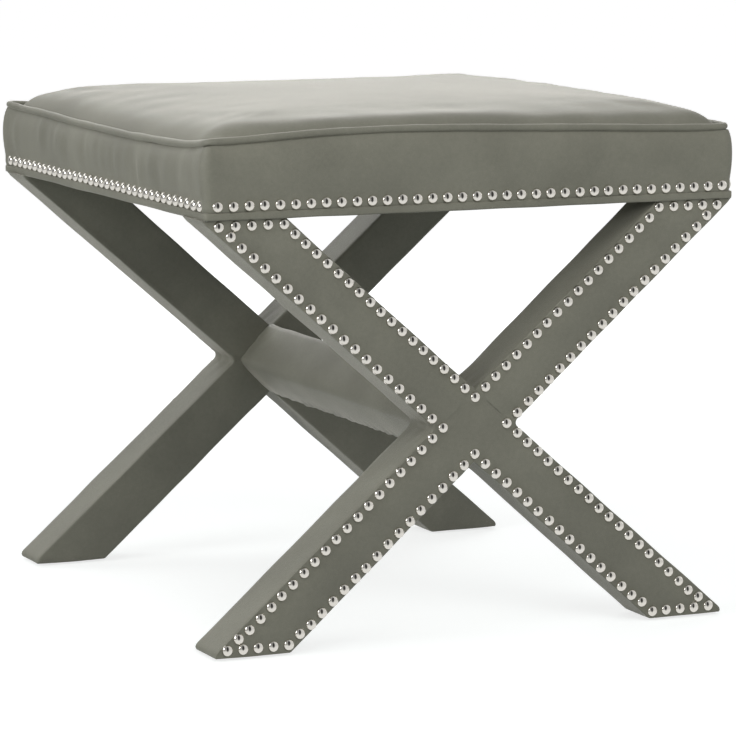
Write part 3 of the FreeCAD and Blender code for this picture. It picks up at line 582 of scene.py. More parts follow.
def waver(points, length, seed):
    """Smooth values from about -1 to 1 that vary over a length, the same on each run."""
    layers = 6
    draw = np.random.default_rng(seed)
    total = np.zeros(len(points))
    for _ in range(layers):
        heading = draw.normal(size=points.shape[1])
        heading /= np.linalg.norm(heading)
        wave = FULL_TURN / (length * draw.uniform(0.7, 1.5))
        total += np.sin(points @ heading * wave + draw.uniform(0, FULL_TURN))
    return total / math.sqrt(layers / 2) / 2


def smooth_step(values, low, high):
    """0 below low, 1 above high, and a smooth rise between them."""
    share = np.clip((values - low) / (high - low), 0, 1)
    return share * share * (3 - 2 * share)


def corner_push(points, reach):
    """Steps that draw the seat's corners out along their diagonals, fading over a reach."""
    push = np.zeros((len(points), 2))
    for (across, along), ear in CORNER_EARS.items():
        from_x = SEAT_HALF_X - across * points[:, 0]
        from_y = SEAT_HALF_Y - along * points[:, 1]
        near = (1 - smooth_step(from_x, 0, reach)) * (1 - smooth_step(from_y, 0, reach))
        push += ear * near[:, None] * np.array([across, along])
    return push


def seam_lift(points):
    """How far the seam under the cushion strays from level beside each point."""
    nearest = 0.002
    softening = (-0.02, 0, 0.02)
    total = np.zeros(len(points))
    weight = np.zeros(len(points))
    for side, outward in SIDES.items():
        line = points[:, 1] if outward.x else points[:, 0]
        half = SEAT_HALF_X if outward.x else SEAT_HALF_Y
        away = np.maximum(half - points @ np.array(outward), 0) + nearest
        places, lifts = np.array(SEAM_LIFT[side]).T
        lift = sum(np.interp(line + step, places, lifts) for step in softening) / len(softening)
        total += lift / away ** 2
        weight += 1 / away ** 2
    return total / weight


def nail_tips(node, outward):
    """The tops of a node's nail heads, which stand furthest out."""
    top_depth = 2e-5
    points = read_points(frame["nodes"][node].data)
    reach = points @ np.array(outward)
    return np.unique(np.round(points[reach > reach.max() - top_depth], 4), axis=0)


def dents(points, tips, columns, radius):
    """How near each point lies to a nail, from 0 far off to 1 at it, seen in two columns."""
    nearest = np.full(len(points), np.inf)
    for tip in tips:
        nearest = np.minimum(nearest, ((points[:, columns] - tip[columns]) ** 2).sum(axis=1))
    return np.exp(-nearest / radius ** 2)


def finished(piece, name, slot, material, *nodes):
    """Name a finished piece, give it its finish and let it ride on the frame in place of CAD nodes."""
    piece.name = name
    piece.data.name = name
    piece.data.materials.clear()
    piece.data.materials.append(material)
    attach(piece, "root")
    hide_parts(*nodes)


def upholstered(piece, name, *nodes):
    """Finish a piece in the upholstery cloth."""
    finished(piece, name, "upholstery", upholstery_cloth(bpy.context.scene.ottoman_finish), *nodes)


def smooth_shaded(piece, angle):
    """Shade a piece smooth, except across edges sharper than an angle in degrees."""
    bpy.ops.object.select_all(action="DESELECT")
    piece.select_set(True)
    bpy.context.view_layer.objects.active = piece
    bpy.ops.object.shade_smooth_by_angle(angle=math.radians(angle))


def rim_inset(points, corner_round):
    """How far points lie inside the cushion's rim, by contours whose corners grow rounder inwards."""
    growth = 1 / 8
    front_left_round = 0.025
    quarter = 0.15
    halvings = 24
    side_x = COVER_HIGH.x - abs(points[:, 0])
    side_y = COVER_HIGH.y - abs(points[:, 1])
    low = np.zeros(len(points))
    high = np.maximum(np.minimum(side_x, side_y), 0)
    front_left = smooth_step(-points[:, 0], 0, quarter) * smooth_step(-points[:, 1], 0, quarter)
    for _ in range(halvings):
        inset = (low + high) / 2
        radius = corner_round + inset * growth + front_left * np.maximum(front_left_round - inset, 0)
        gap = np.hypot(np.maximum(radius - side_x + inset, 0), np.maximum(radius - side_y + inset, 0))
        low = np.where(gap <= radius, inset, low)
        high = np.where(gap <= radius, high, inset)
    return low


def beside_share(points):
    """1 by the seat's left and right sides, 0 by its front and rear, with a smooth change between."""
    change = 0.08
    return smooth_step(abs(points[:, 0]) - abs(points[:, 1]), -change, change)


def crown_height(points, seat):
    """Height of the crown above the welt's middle: a rounded rim, a slope that eases off and a dome."""
    side_steepness = 0.65
    inset = rim_inset(points, seat.corner_round)
    shoulder = seat.shoulder_rise * (1 - np.exp(-inset / seat.shoulder_reach))
    slope_reach = seat.slope_reach * (1 - side_steepness * beside_share(points))
    slope = seat.slope_rise * (1 - np.exp(-inset / slope_reach))
    dome_rise = seat.crown_rise - seat.shoulder_rise - seat.slope_rise
    return shoulder + slope + dome_rise * (1 - (1 - inset / COVER_HIGH.x) ** 2)


def swell(pad, held, cap):
    """Blow a pad up as its filling does: Cloth under pressure for some frames, with each move capped."""
    frames = 20
    start = read_points(pad.data)
    group = pad.vertex_groups.new(name="held")
    group.add([int(index) for index in np.nonzero(held(start))[0]], 1.0, "REPLACE")
    cloth = pad.modifiers.new("filling", "CLOTH")
    cloth.settings.quality = 5
    cloth.settings.mass = 0.3
    cloth.settings.use_pressure = True
    cloth.settings.uniform_pressure_force = 4
    cloth.settings.vertex_group_mass = "held"
    cloth.settings.effector_weights.gravity = 0
    cloth.collision_settings.use_collision = False
    cloth.point_cache.frame_start = 1
    cloth.point_cache.frame_end = frames
    for number in range(1, frames + 1):
        bpy.context.scene.frame_set(number)
    bpy.ops.object.modifier_apply(modifier="filling")
    bpy.context.scene.frame_set(1)
    run = read_points(pad.data) - start
    length = np.linalg.norm(run, axis=1)
    share = np.minimum(1, cap / np.maximum(length, 1e-9))
    pad.data.vertices.foreach_set("co", (start + run * share[:, None]).astype(np.float32).ravel())
    pad.data.update()
    pad.vertex_groups.clear()


class OTTOMAN_OT_seat_cushion(bpy.types.Operator):
    """Make the crowned cushion on top of the seat"""

    bl_idname = "ottoman.seat_cushion"
    bl_label = "Seat cushion"

    def execute(self, context):
        seat = context.scene.ottoman_seat
        size = (2 * COVER_HIGH.x, 2 * COVER_HIGH.y, WELT_Z - FOAM_LOW.z)
        pad = added(bpy.ops.mesh.primitive_cube_add, size=1, scale=size,
                    location=(0, 0, (WELT_Z + FOAM_LOW.z) / 2))
        bpy.ops.object.mode_set(mode="EDIT")
        round_edges(pad, upright, seat.corner_round, segments=5)
        pick(pad, "faces", lambda face: face.normal.z > 0.9)
        bpy.ops.mesh.inset(thickness=0.02)
        bpy.ops.object.mode_set(mode="OBJECT")
        use_modifier(pad, "REMESH", mode="VOXEL", voxel_size=0.006)
        droop = seat.swell_cap
        rim = size[2] * 0.6
        lip = 0.002

        def raise_crown(points, normals):
            lift = smooth_step(points[:, 2], WELT_Z - rim, WELT_Z - lip)
            crown = WELT_Z + crown_height(points, seat) * (1 - droop / seat.crown_rise)
            points[:, 2] += lift * (crown - points[:, 2])
            return points

        move_points(pad, raise_crown)
        swell(pad, lambda points: points[:, 2] < WELT_Z + lip / 2, seat.swell_cap)

        def settle(points, normals):
            rim_wave, rim_wave_length = 0.0005, 0.055
            top_wave, top_wave_length = 0.0003, 0.19
            seam_reach, further_beside = 0.07, 0.09
            inset = np.minimum(COVER_HIGH.x - abs(points[:, 0]), COVER_HIGH.y - abs(points[:, 1]))
            near_rim = smooth_step(inset, 0.004, 0.02) * (1 - smooth_step(inset, 0.05, 0.11))
            top = smooth_step(points[:, 2], WELT_Z, WELT_Z + 0.006)
            points[:, 2] += top * near_rim * rim_wave * waver(points[:, :2], rim_wave_length, 3)
            points[:, 2] += top * top_wave * waver(points[:, :2], top_wave_length, 4)
            by_seam = 1 - smooth_step(inset, 0, seam_reach + further_beside * beside_share(points))
            points[:, 2] += by_seam * smooth_step(points[:, 2], WELT_Z - rim, WELT_Z) * seam_lift(points)
            return points

        use_modifier(pad, "SUBSURF", levels=1, render_levels=1)
        move_points(pad, settle)
        smooth_shaded(pad, angle=60)
        upholstered(pad, "seat_cushion", "seat_top_cover", "seat_batting", "seat_foam")
        return {"FINISHED"}


class OTTOMAN_OT_seat_band(bpy.types.Operator):
    """Make the padded band round the seat, with its hem, bulge and puckers"""

    bl_idname = "ottoman.seat_band"
    bl_label = "Seat band"

    def execute(self, context):
        seat = context.scene.ottoman_seat
        height = BAND_HIGH.z - BAND_LOW.z
        band = added(bpy.ops.mesh.primitive_cube_add, size=1,
                     scale=(2 * SEAT_HALF_X, 2 * SEAT_HALF_Y, height),
                     location=(0, 0, BAND_LOW.z + height / 2))
        bpy.ops.object.mode_set(mode="EDIT")
        pick(band, "faces", lambda face: abs(face.normal.z) > 0.9)
        bpy.ops.mesh.delete(type="FACE")
        round_edges(band, upright, seat.corner_round, segments=8)
        split_edges(band, longer_than=0.3, cuts=150)
        pick(band, "edges", upright)
        bpy.ops.mesh.subdivide(number_cuts=21)
        bpy.ops.object.mode_set(mode="OBJECT")
        tips = np.vstack([nail_tips(f"{side}_seat_nails", outward) for side, outward in SIDES.items()])
        draw = np.random.default_rng(11)
        puckers = {}
        first_pucker = -0.30
        for side in SIDES:
            places = np.cumsum(draw.uniform(0.011, 0.034, 30)) + first_pucker
            puckers[side] = [
                (place, draw.uniform(0.004, 0.010), draw.uniform(-1, 1), draw.uniform(-0.12, 0.12),
                 draw.uniform(0.3, 0.75)) for place in places]

        def shape(points, normals):
            corner_reach, ear_reach, ear_lift = 0.03, 0.04, 0.33
            hem_pinch, pinch_height = 0.0009, 0.0025
            nail_dent, dent_radius = 0.0006, 0.0058
            calm_share, pucker_spread = 0.42, 0.36
            wave, wave_length = 0.00035, 0.09
            rise = points[:, 2] - BAND_LOW.z
            share = np.clip((rise - seat.hem_height) / (height - seat.hem_height), 0, 1)
            corner = 1 - smooth_step(SEAT_HALF_X - abs(points[:, 0]), 0, corner_reach)
            corner *= 1 - smooth_step(SEAT_HALF_Y - abs(points[:, 1]), 0, corner_reach)
            tuck = seat.band_tuck * (1 - 0.5 * corner)
            out = seat.band_bulge * np.sin(math.pi * share) - tuck * share ** 8
            out -= hem_pinch * (1 - smooth_step(rise, 0, pinch_height))
            out -= nail_dent * dents(points, tips, [0, 1, 2], dent_radius)
            for side, outward in SIDES.items():
                facing = smooth_step(normals @ np.array(outward), 0.55, 0.95)
                line = points[:, 1] if outward.x else points[:, 0]
                depth = seat.pucker_depth * (1.0 if outward.x else calm_share)
                for place, width, strength, lean, middle in puckers[side]:
                    ridge = np.exp(-((line - place - lean * (rise - height / 2)) / width) ** 2)
                    body = np.exp(-((share - middle) / pucker_spread) ** 2)
                    out += facing * depth * strength * ridge * body
            level = normals * np.array([1, 1, 0])
            level /= np.maximum(np.linalg.norm(level, axis=1), 1e-9)[:, None]
            out += wave * waver(points, wave_length, 12)
            points += level * out[:, None]
            ears = np.linalg.norm(corner_push(points, ear_reach), axis=1)
            points[:, 2] += share * (seam_lift(points) + ear_lift * ears)
            points[:, :2] += corner_push(points, corner_reach)
            return points

        move_points(band, shape)
        use_modifier(band, "SOLIDIFY", thickness=seat.band_thickness, offset=-1.0, use_rim=True)
        smooth_shaded(band, angle=50)
        upholstered(band, "seat_band", "front_band", "rear_band", "left_band", "right_band", "side_padding")
        return {"FINISHED"}


class OTTOMAN_OT_seat_welt(bpy.types.Operator):
    """Make the corded welt between the cushion and the band"""

    bl_idname = "ottoman.seat_welt"
    bl_label = "Seat welt"

    def execute(self, context):
        seat = context.scene.ottoman_seat
        steps = 32
        fullness = 1.08
        welt = added(bpy.ops.mesh.primitive_torus_add, major_segments=steps, minor_segments=12,
                     major_radius=seat.welt_corner, minor_radius=fullness * WELT_RADIUS,
                     location=(0, 0, WELT_Z), rotation=(0, 0, math.pi / steps))
        bpy.ops.object.mode_set(mode="EDIT")
        reach_x = WELT_HIGH.x - WELT_RADIUS - seat.welt_corner + seat.welt_step
        reach_y = WELT_HIGH.y - WELT_RADIUS - seat.welt_corner + seat.welt_step
        for sign in (-1, 1):
            pick(welt, "verts", lambda vert: sign * vert.co.x > 0)
            bpy.ops.transform.translate(value=(sign * reach_x, 0, 0))
            pick(welt, "verts", lambda vert: sign * vert.co.y > 0)
            bpy.ops.transform.translate(value=(0, sign * reach_y, 0))
        split_edges(welt, longer_than=0.3, cuts=160)
        bpy.ops.object.mode_set(mode="OBJECT")

        def wander(points, normals):
            ear_share, ear_reach, ear_lift = 1.3, 0.04, 0.25
            cord_wave, cord_wave_length = 0.00022, 0.035
            push = ear_share * corner_push(points, ear_reach)
            points[:, 2] += seat.welt_waver * waver(points[:, :2], 0.16, 21)
            points[:, 2] += ear_lift * np.linalg.norm(push, axis=1)
            points[:, 2] += seam_lift(points)
            points += normals * (cord_wave * waver(points, cord_wave_length, 22))[:, None]
            points[:, :2] += push
            return points

        move_points(welt, wander)
        smooth_shaded(welt, angle=70)
        upholstered(welt, "seat_welt", "top_welt")
        return {"FINISHED"}


class OTTOMAN_OT_base_strip(bpy.types.Operator):
    """Make the wrapped board that the seat stands on"""

    bl_idname = "ottoman.base_strip"
    bl_label = "Base strip"

    def execute(self, context):
        seat = context.scene.ottoman_seat
        size = STRIP_HIGH - STRIP_LOW
        board = added(bpy.ops.mesh.primitive_cube_add, size=1, scale=tuple(size),
                      location=tuple((STRIP_HIGH + STRIP_LOW) / 2))
        bpy.ops.object.mode_set(mode="EDIT")
        round_edges(board, upright, seat.strip_corner, segments=4)
        round_edges(board, lambda edge: not upright(edge), seat.strip_edge, segments=3)
        split_edges(board, longer_than=0.3, cuts=120)
        bpy.ops.object.mode_set(mode="OBJECT")

        def wander(points, normals):
            wave, wave_length = 0.0003, 0.08
            ear_share, ear_reach = 0.7, 0.03
            edge = 1 - smooth_step(np.minimum(SEAT_HALF_X - abs(points[:, 0]),
                                              SEAT_HALF_Y - abs(points[:, 1])), 0.001, 0.01)
            points += normals * (edge * wave * waver(points, wave_length, 31))[:, None]
            points[:, :2] += ear_share * corner_push(points, ear_reach)
            return points

        move_points(board, wander)
        smooth_shaded(board, angle=40)
        upholstered(board, "base_strip", "base_wrap")
        return {"FINISHED"}


def x_shape(legs):
    """Run of a leg per metre of fall, and the place and half height of the crossing."""
    run = (X_HIGH.x + legs.foot_half - legs.leg_cut) / (X_HIGH.z - FOOT_LOW.z)
    crossing = X_HIGH.z - (X_HIGH.x - legs.leg_cut / 2) / run
    return run, crossing, legs.leg_cut / 2 / run


def x_corners(legs):
    """The twelve corners of an X, as pairs of X and Z."""
    _, crossing, half_height = x_shape(legs)
    cut = legs.leg_cut
    top, high = X_HIGH.x, X_HIGH.z
    foot, low = legs.foot_half, FOOT_LOW.z
    corners = [(cut / 2, crossing), (top, high), (top - cut, high), (0, crossing + half_height)]
    corners += [(cut - top, high), (-top, high), (-cut / 2, crossing), (-foot, low)]
    corners += [(cut - foot, low), (0, crossing - half_height), (foot - cut, low), (foot, low)]
    return [np.array(corner) for corner in corners]


def leg_spread(points, legs):
    """How far the legs' flare moves points along X: most at an outer edge's end, nothing at the crossing."""
    run, crossing, _ = x_shape(legs)
    rise = points[:, 2] - crossing
    inside = legs.leg_cut / 2 + abs(rise) * run - abs(points[:, 0])
    across = np.clip(1 - inside / legs.leg_cut, 0, 1)
    spread = np.zeros(len(points))
    for (side, upward), flare in LEG_FLARE.items():
        length = X_HIGH.z - crossing if upward > 0 else crossing - FOOT_LOW.z
        share = np.clip(upward * rise / length, 0, 1) * (side * points[:, 0] > 0)
        spread += side * flare * share * across
    return spread


def distance_to_outline(points, corners):
    """How far points, as pairs of X and Z, lie from an outline."""
    nearest = np.full(len(points), np.inf)
    for start, end in zip(corners, corners[1:] + corners[:1]):
        run = end - start
        share = np.clip(((points - start) @ run) / (run @ run), 0, 1)
        nearest = np.minimum(nearest, np.linalg.norm(points - start - share[:, None] * run, axis=1))
    return nearest


class OTTOMAN_OT_x_covers(bpy.types.Operator):
    """Make the fabric covers of the front and rear X frames"""

    bl_idname = "ottoman.x_covers"
    bl_label = "X frame covers"

    def cover(self, context, side, outward):
        """One X: a crossing block whose four sides are drawn out into legs, cut level and rounded."""
        legs = context.scene.ottoman_legs
        run, crossing, half_height = x_shape(legs)
        depth = X_BACK - X_LOW.y
        centre = (0, outward * (-X_LOW.y - depth / 2), crossing)
        cover = added(bpy.ops.mesh.primitive_cube_add, size=1, location=centre,
                      rotation=(0, math.radians(45), 0))
        bpy.ops.object.mode_set(mode="EDIT")
        diagonal = math.sqrt(2)
        bpy.ops.transform.resize(
            value=(legs.leg_cut / diagonal, depth, 2 * half_height / diagonal), center_override=centre)
        spare = 0.01
        reach = X_HIGH.z - crossing + spare
        for across in (-1, 1):
            for upward in (-1, 1):
                pick(cover, "faces", lambda face: (
                    face.normal.x * across > 0.3 and face.normal.z * upward > 0.3
                    and (face.calc_center_median() - Vector(centre)).length < legs.leg_cut / 2))
                bpy.ops.mesh.extrude_region_move(
                    TRANSFORM_OT_translate={"value": (across * run * reach, 0, upward * reach)})
        for level, upward in ((X_HIGH.z, 1), (FOOT_LOW.z, -1)):
            bpy.ops.mesh.select_all(action="SELECT")
            bpy.ops.mesh.bisect(
                plane_co=(0, 0, level), plane_no=(0, 0, upward), use_fill=True, clear_outer=True)
        for beside, offset in ((True, legs.side_crook), (False, legs.level_crook)):
            round_edges(cover, lambda edge: (
                not edge.is_convex and edge.calc_face_angle(0) > 0.5
                and (abs(edge.verts[0].co.x) > legs.leg_cut / 4) == beside), offset, segments=5)
        round_edges(cover, lambda edge: all(
            abs(abs(vert.co.x) - legs.foot_half) < 1e-4 and vert.co.z < FOOT_LOW.z + 1e-4
            for vert in edge.verts), legs.foot_tip, segments=5)
        nailed_face = outward * -X_LOW.y
        inner_face = outward * -X_BACK
        for face, offset in ((nailed_face, legs.nailed_edge), (inner_face, legs.inner_edge)):
            round_edges(cover, lambda edge: self.along_face(edge, face), offset, segments=3)
        round_edges(cover, lambda edge: (
            edge.calc_face_angle(0) > 0.3
            and max(abs(vert.co.z - FOOT_LOW.z) for vert in edge.verts) < 1e-5), legs.foot_edge, segments=2)
        split_edges(cover, longer_than=0.15, cuts=70)
        split_edges(cover, longer_than=0.02, cuts=11)
        bpy.ops.object.mode_set(mode="OBJECT")
        corners = x_corners(legs)
        tips = nail_tips(f"{side}_x_nails", SIDES[side])
        crooks = np.array([corners[index] for index in (0, 3, 6, 9)])
        middle = np.array([0, crossing])

        def shape(points, normals):
            dent_radius, wave_length = 0.0062, 0.06
            crease_depth, crease_width = 0.0011, 0.0022
            bridge_swell, bridge_reach = 0.0003, 0.024
            upper_folds, other_folds, fold_length = 0.0005, 0.0004, 0.016
            flat = points[:, [0, 2]]
            inset = distance_to_outline(flat, corners)
            outer = smooth_step(normals[:, 1] * outward, 0.6, 0.95)
            inner = smooth_step(-normals[:, 1] * outward, 0.6, 0.95)
            out = outer * legs.face_swell * smooth_step(inset, 0.005, 0.022)
            out -= outer * legs.nail_dent * dents(points, tips, [0, 2], dent_radius)
            out += inner * 0.5 * legs.face_swell * smooth_step(inset, 0.003, 0.022)
            out += legs.unevenness * waver(points, wave_length, 41 + outward)
            out += legs.side_padding * smooth_step(normals[:, 0] * np.sign(points[:, 0]), 0.2, 0.6)
            for crook in crooks:
                along = (middle - crook) / np.linalg.norm(middle - crook)
                step = flat - crook
                depth_in = step @ along
                beside = np.abs(step @ np.array([-along[1], along[0]]))
                crease = np.exp(-(beside / crease_width) ** 2) * smooth_step(depth_in, -0.004, 0.001)
                out -= (outer + inner) * crease_depth * crease * (1 - smooth_step(depth_in, 0.002, 0.013))
                near = np.exp(-((step ** 2).sum(axis=1) / bridge_reach ** 2)) * (1 - outer) * (1 - inner)
                fold_depth = upper_folds if crook[1] > crossing + half_height / 2 else other_folds
                folds = waver(points[:, [1]] + 0.4 * step[:, [0]], fold_length, 43)
                out += near * (bridge_swell + fold_depth * folds)
            moved = points + normals * out[:, None]
            moved[:, 0] += leg_spread(points, legs)
            return moved

        move_points(cover, shape)
        smooth_shaded(cover, angle=45)
        nodes = [f"{side}_x_{part}" for part in (
            "face_cover", "inner_cover", "top_strip", "right_strip", "bottom_strip", "left_strip")]
        nodes += [f"{side}_{hand}_foot_patch" for hand in ("left", "right")]
        upholstered(cover, f"{side}_x_cover", *nodes)

    @staticmethod
    def along_face(edge, face):
        """Whether an edge follows the outline of an X in the plane of a face, top and feet apart."""
        near = 1e-5
        in_plane = all(abs(vert.co.y - face) < near for vert in edge.verts)
        level = abs(edge.verts[0].co.z - edge.verts[1].co.z) < near
        at_end = edge.verts[0].co.z > X_HIGH.z - near or edge.verts[0].co.z < FOOT_LOW.z + near
        return in_plane and edge.calc_face_angle(0) > 0.5 and not (level and at_end)

    def execute(self, context):
        self.cover(context, "front", -1)
        self.cover(context, "rear", 1)
        return {"FINISHED"}


class OTTOMAN_OT_stretcher_wrap(bpy.types.Operator):
    """Make the puffy fabric wrap of the stretcher between the X frames"""

    bl_idname = "ottoman.stretcher_wrap"
    bl_label = "Stretcher wrap"

    def execute(self, context):
        legs = context.scene.ottoman_legs
        middle = (STRETCHER_LOW + STRETCHER_HIGH) / 2
        half = (STRETCHER_HIGH - STRETCHER_LOW) / 2
        half.z *= legs.stretcher_fill
        wrap = added(bpy.ops.mesh.primitive_cylinder_add, vertices=4, radius=1, depth=2 * half.y,
                     location=tuple(middle), rotation=(math.pi / 2, 0, 0))
        bpy.ops.object.mode_set(mode="EDIT")
        bpy.ops.transform.resize(value=(half.x, 1, half.z), center_override=tuple(middle))
        round_edges(wrap, lambda edge: abs(edge.verts[0].co.y - edge.verts[1].co.y) > half.y,
                    legs.stretcher_round, segments=5)
        split_edges(wrap, longer_than=0.15, cuts=150)
        split_edges(wrap, longer_than=0.02, cuts=11)
        bpy.ops.object.mode_set(mode="OBJECT")

        def shape(points, normals):
            end_pleats, rear_swell, rear_pleats = 0.0005, 0.0012, 0.0009
            wave, wave_length = 0.0004, 0.07
            step = points - np.array(middle)
            lower = smooth_step(-step[:, 2] / half.z, 0.62, 0.98)
            share = np.abs(np.abs(step[:, 0]) / half.x - 0.5) * 2
            end = smooth_step(np.abs(step[:, 1]) / half.y, 0.82, 1.0)
            rear = smooth_step(step[:, 1] / half.y, 0.84, 0.99)
            out = legs.stretcher_swell * (1 - share ** 2) * (1 - 0.6 * end)
            line = points[:, [1]]
            gathers = waver(line, 0.011, 51) + 0.5 * waver(line, 0.028, 52)
            out += lower * legs.gather_depth * gathers
            turn = np.arctan2(step[:, 2] / half.z, step[:, 0] / half.x)[:, None]
            out += end * end_pleats * waver(turn, 0.42, 53)
            top = smooth_step(step[:, 2] / half.z, 0.35, 0.8)
            out += rear * top * (rear_swell + rear_pleats * waver(turn, 0.22, 54))
            out += wave * waver(points, wave_length, 55)
            move = normals * out[:, None]
            move[:, 1] = 0
            return points + move

        move_points(wrap, shape)
        smooth_shaded(wrap, angle=60)
        upholstered(wrap, "stretcher_wrap", "stretcher_cover")
        return {"FINISHED"}


class OTTOMAN_OT_nails(bpy.types.Operator):
    """Make the rows of domed nails on the seat and on both X frames"""

    bl_idname = "ottoman.nails"
    bl_label = "Decorative nails"

    def nail(self, sizes):
        """One nail head: half a ball, flattened, with an upright rim and a closed underside."""
        radius = sizes.head_diameter / 2
        head = added(bpy.ops.mesh.primitive_uv_sphere_add,
                     segments=sizes.segments, ring_count=8, radius=radius)
        bpy.ops.object.mode_set(mode="EDIT")
        bpy.ops.mesh.select_all(action="SELECT")
        bpy.ops.mesh.bisect(plane_co=(0, 0, 0), plane_no=(0, 0, -1), clear_outer=True)
        bpy.ops.mesh.select_all(action="SELECT")
        dome = (sizes.dome_height - sizes.rim_height) / radius
        bpy.ops.transform.resize(value=(1, 1, dome), center_override=(0, 0, 0))
        bpy.ops.transform.translate(value=(0, 0, sizes.rim_height))
        pick(head, "edges", lambda edge: edge.is_boundary)
        bpy.ops.mesh.extrude_edges_move(TRANSFORM_OT_translate={"value": (0, 0, -2 * sizes.rim_height)})
        bpy.ops.mesh.edge_face_add()
        bpy.ops.mesh.select_all(action="SELECT")
        bpy.ops.mesh.normals_make_consistent(inside=False)
        bpy.ops.object.mode_set(mode="OBJECT")
        smooth_shaded(head, angle=50)
        return head

    def row(self, context, head, node, outward, draw):
        """Copies of the nail at the places that a node's nails have, as one piece."""
        usual = 0.6
        low_share = 0.4
        sizes = context.scene.ottoman_nails
        tips = nail_tips(node, outward)
        if "_x_" in node:
            spread = leg_spread(tips, context.scene.ottoman_legs)
            tips[:, 0] += spread * np.where(tips[:, 2] > X_HIGH.z / 2, 1.0, low_share)
            tips[:, 2] += sizes.foot_rise * (tips[:, 2] < FOOT_LOW.z + 2 * sizes.head_diameter)
        copies = []
        for tip in tips:
            copy = head.copy()
            copy.data = head.data.copy()
            context.scene.collection.objects.link(copy)
            shift = Vector(draw.normal(size=3) * sizes.shift * usual)
            shift -= outward * shift.dot(outward)
            lean = (outward + Vector(draw.normal(size=3) * sizes.tilt * usual)).normalized()
            foot = Vector(tip) - outward * sizes.dome_height + shift
            copy.matrix_world = Matrix.Translation(foot) @ lean.to_track_quat("Z", "Y").to_matrix().to_4x4()
            copies.append(copy)
        bpy.ops.object.select_all(action="DESELECT")
        for copy in copies:
            copy.select_set(True)
        context.view_layer.objects.active = copies[0]
        bpy.ops.object.join()
        bpy.ops.object.transform_apply(location=True, rotation=True, scale=True)
        metal = polished_nails(context.scene.ottoman_finish)
        finished(copies[0], f"{node}_dressed", "nail_metal", metal, node)

    def execute(self, context):
        head = self.nail(context.scene.ottoman_nails)
        draw = np.random.default_rng(61)
        for side, outward in SIDES.items():
            self.row(context, head, f"{side}_seat_nails", outward, draw)
        for side in ("front", "rear"):
            self.row(context, head, f"{side}_x_nails", SIDES[side], draw)
        bpy.data.objects.remove(head)
        return {"FINISHED"}


class OTTOMAN_OT_frame_finishes(bpy.types.Operator):
    """Give the frame's own pieces their timber, plywood, steel and plastic"""

    bl_idname = "ottoman.frame_finishes"
    bl_label = "Frame finishes"

    def execute(self, context):
        colours = context.scene.ottoman_finish
        makers = {
            "frame_wood": frame_timber,
            "plywood": plywood_board,
            "screw_steel": screw_steel,
            "glide_plastic": glide_plastic,
        }
        slots = {part["node"]: part["material_slot"] for part in frame["record"]["subparts"]}
        for name, node in frame["nodes"].items():
            if node.hide_render:
                continue
            material = makers[slots[name]](colours)
            node.data.materials.clear()
            node.data.materials.append(material)
        return {"FINISHED"}


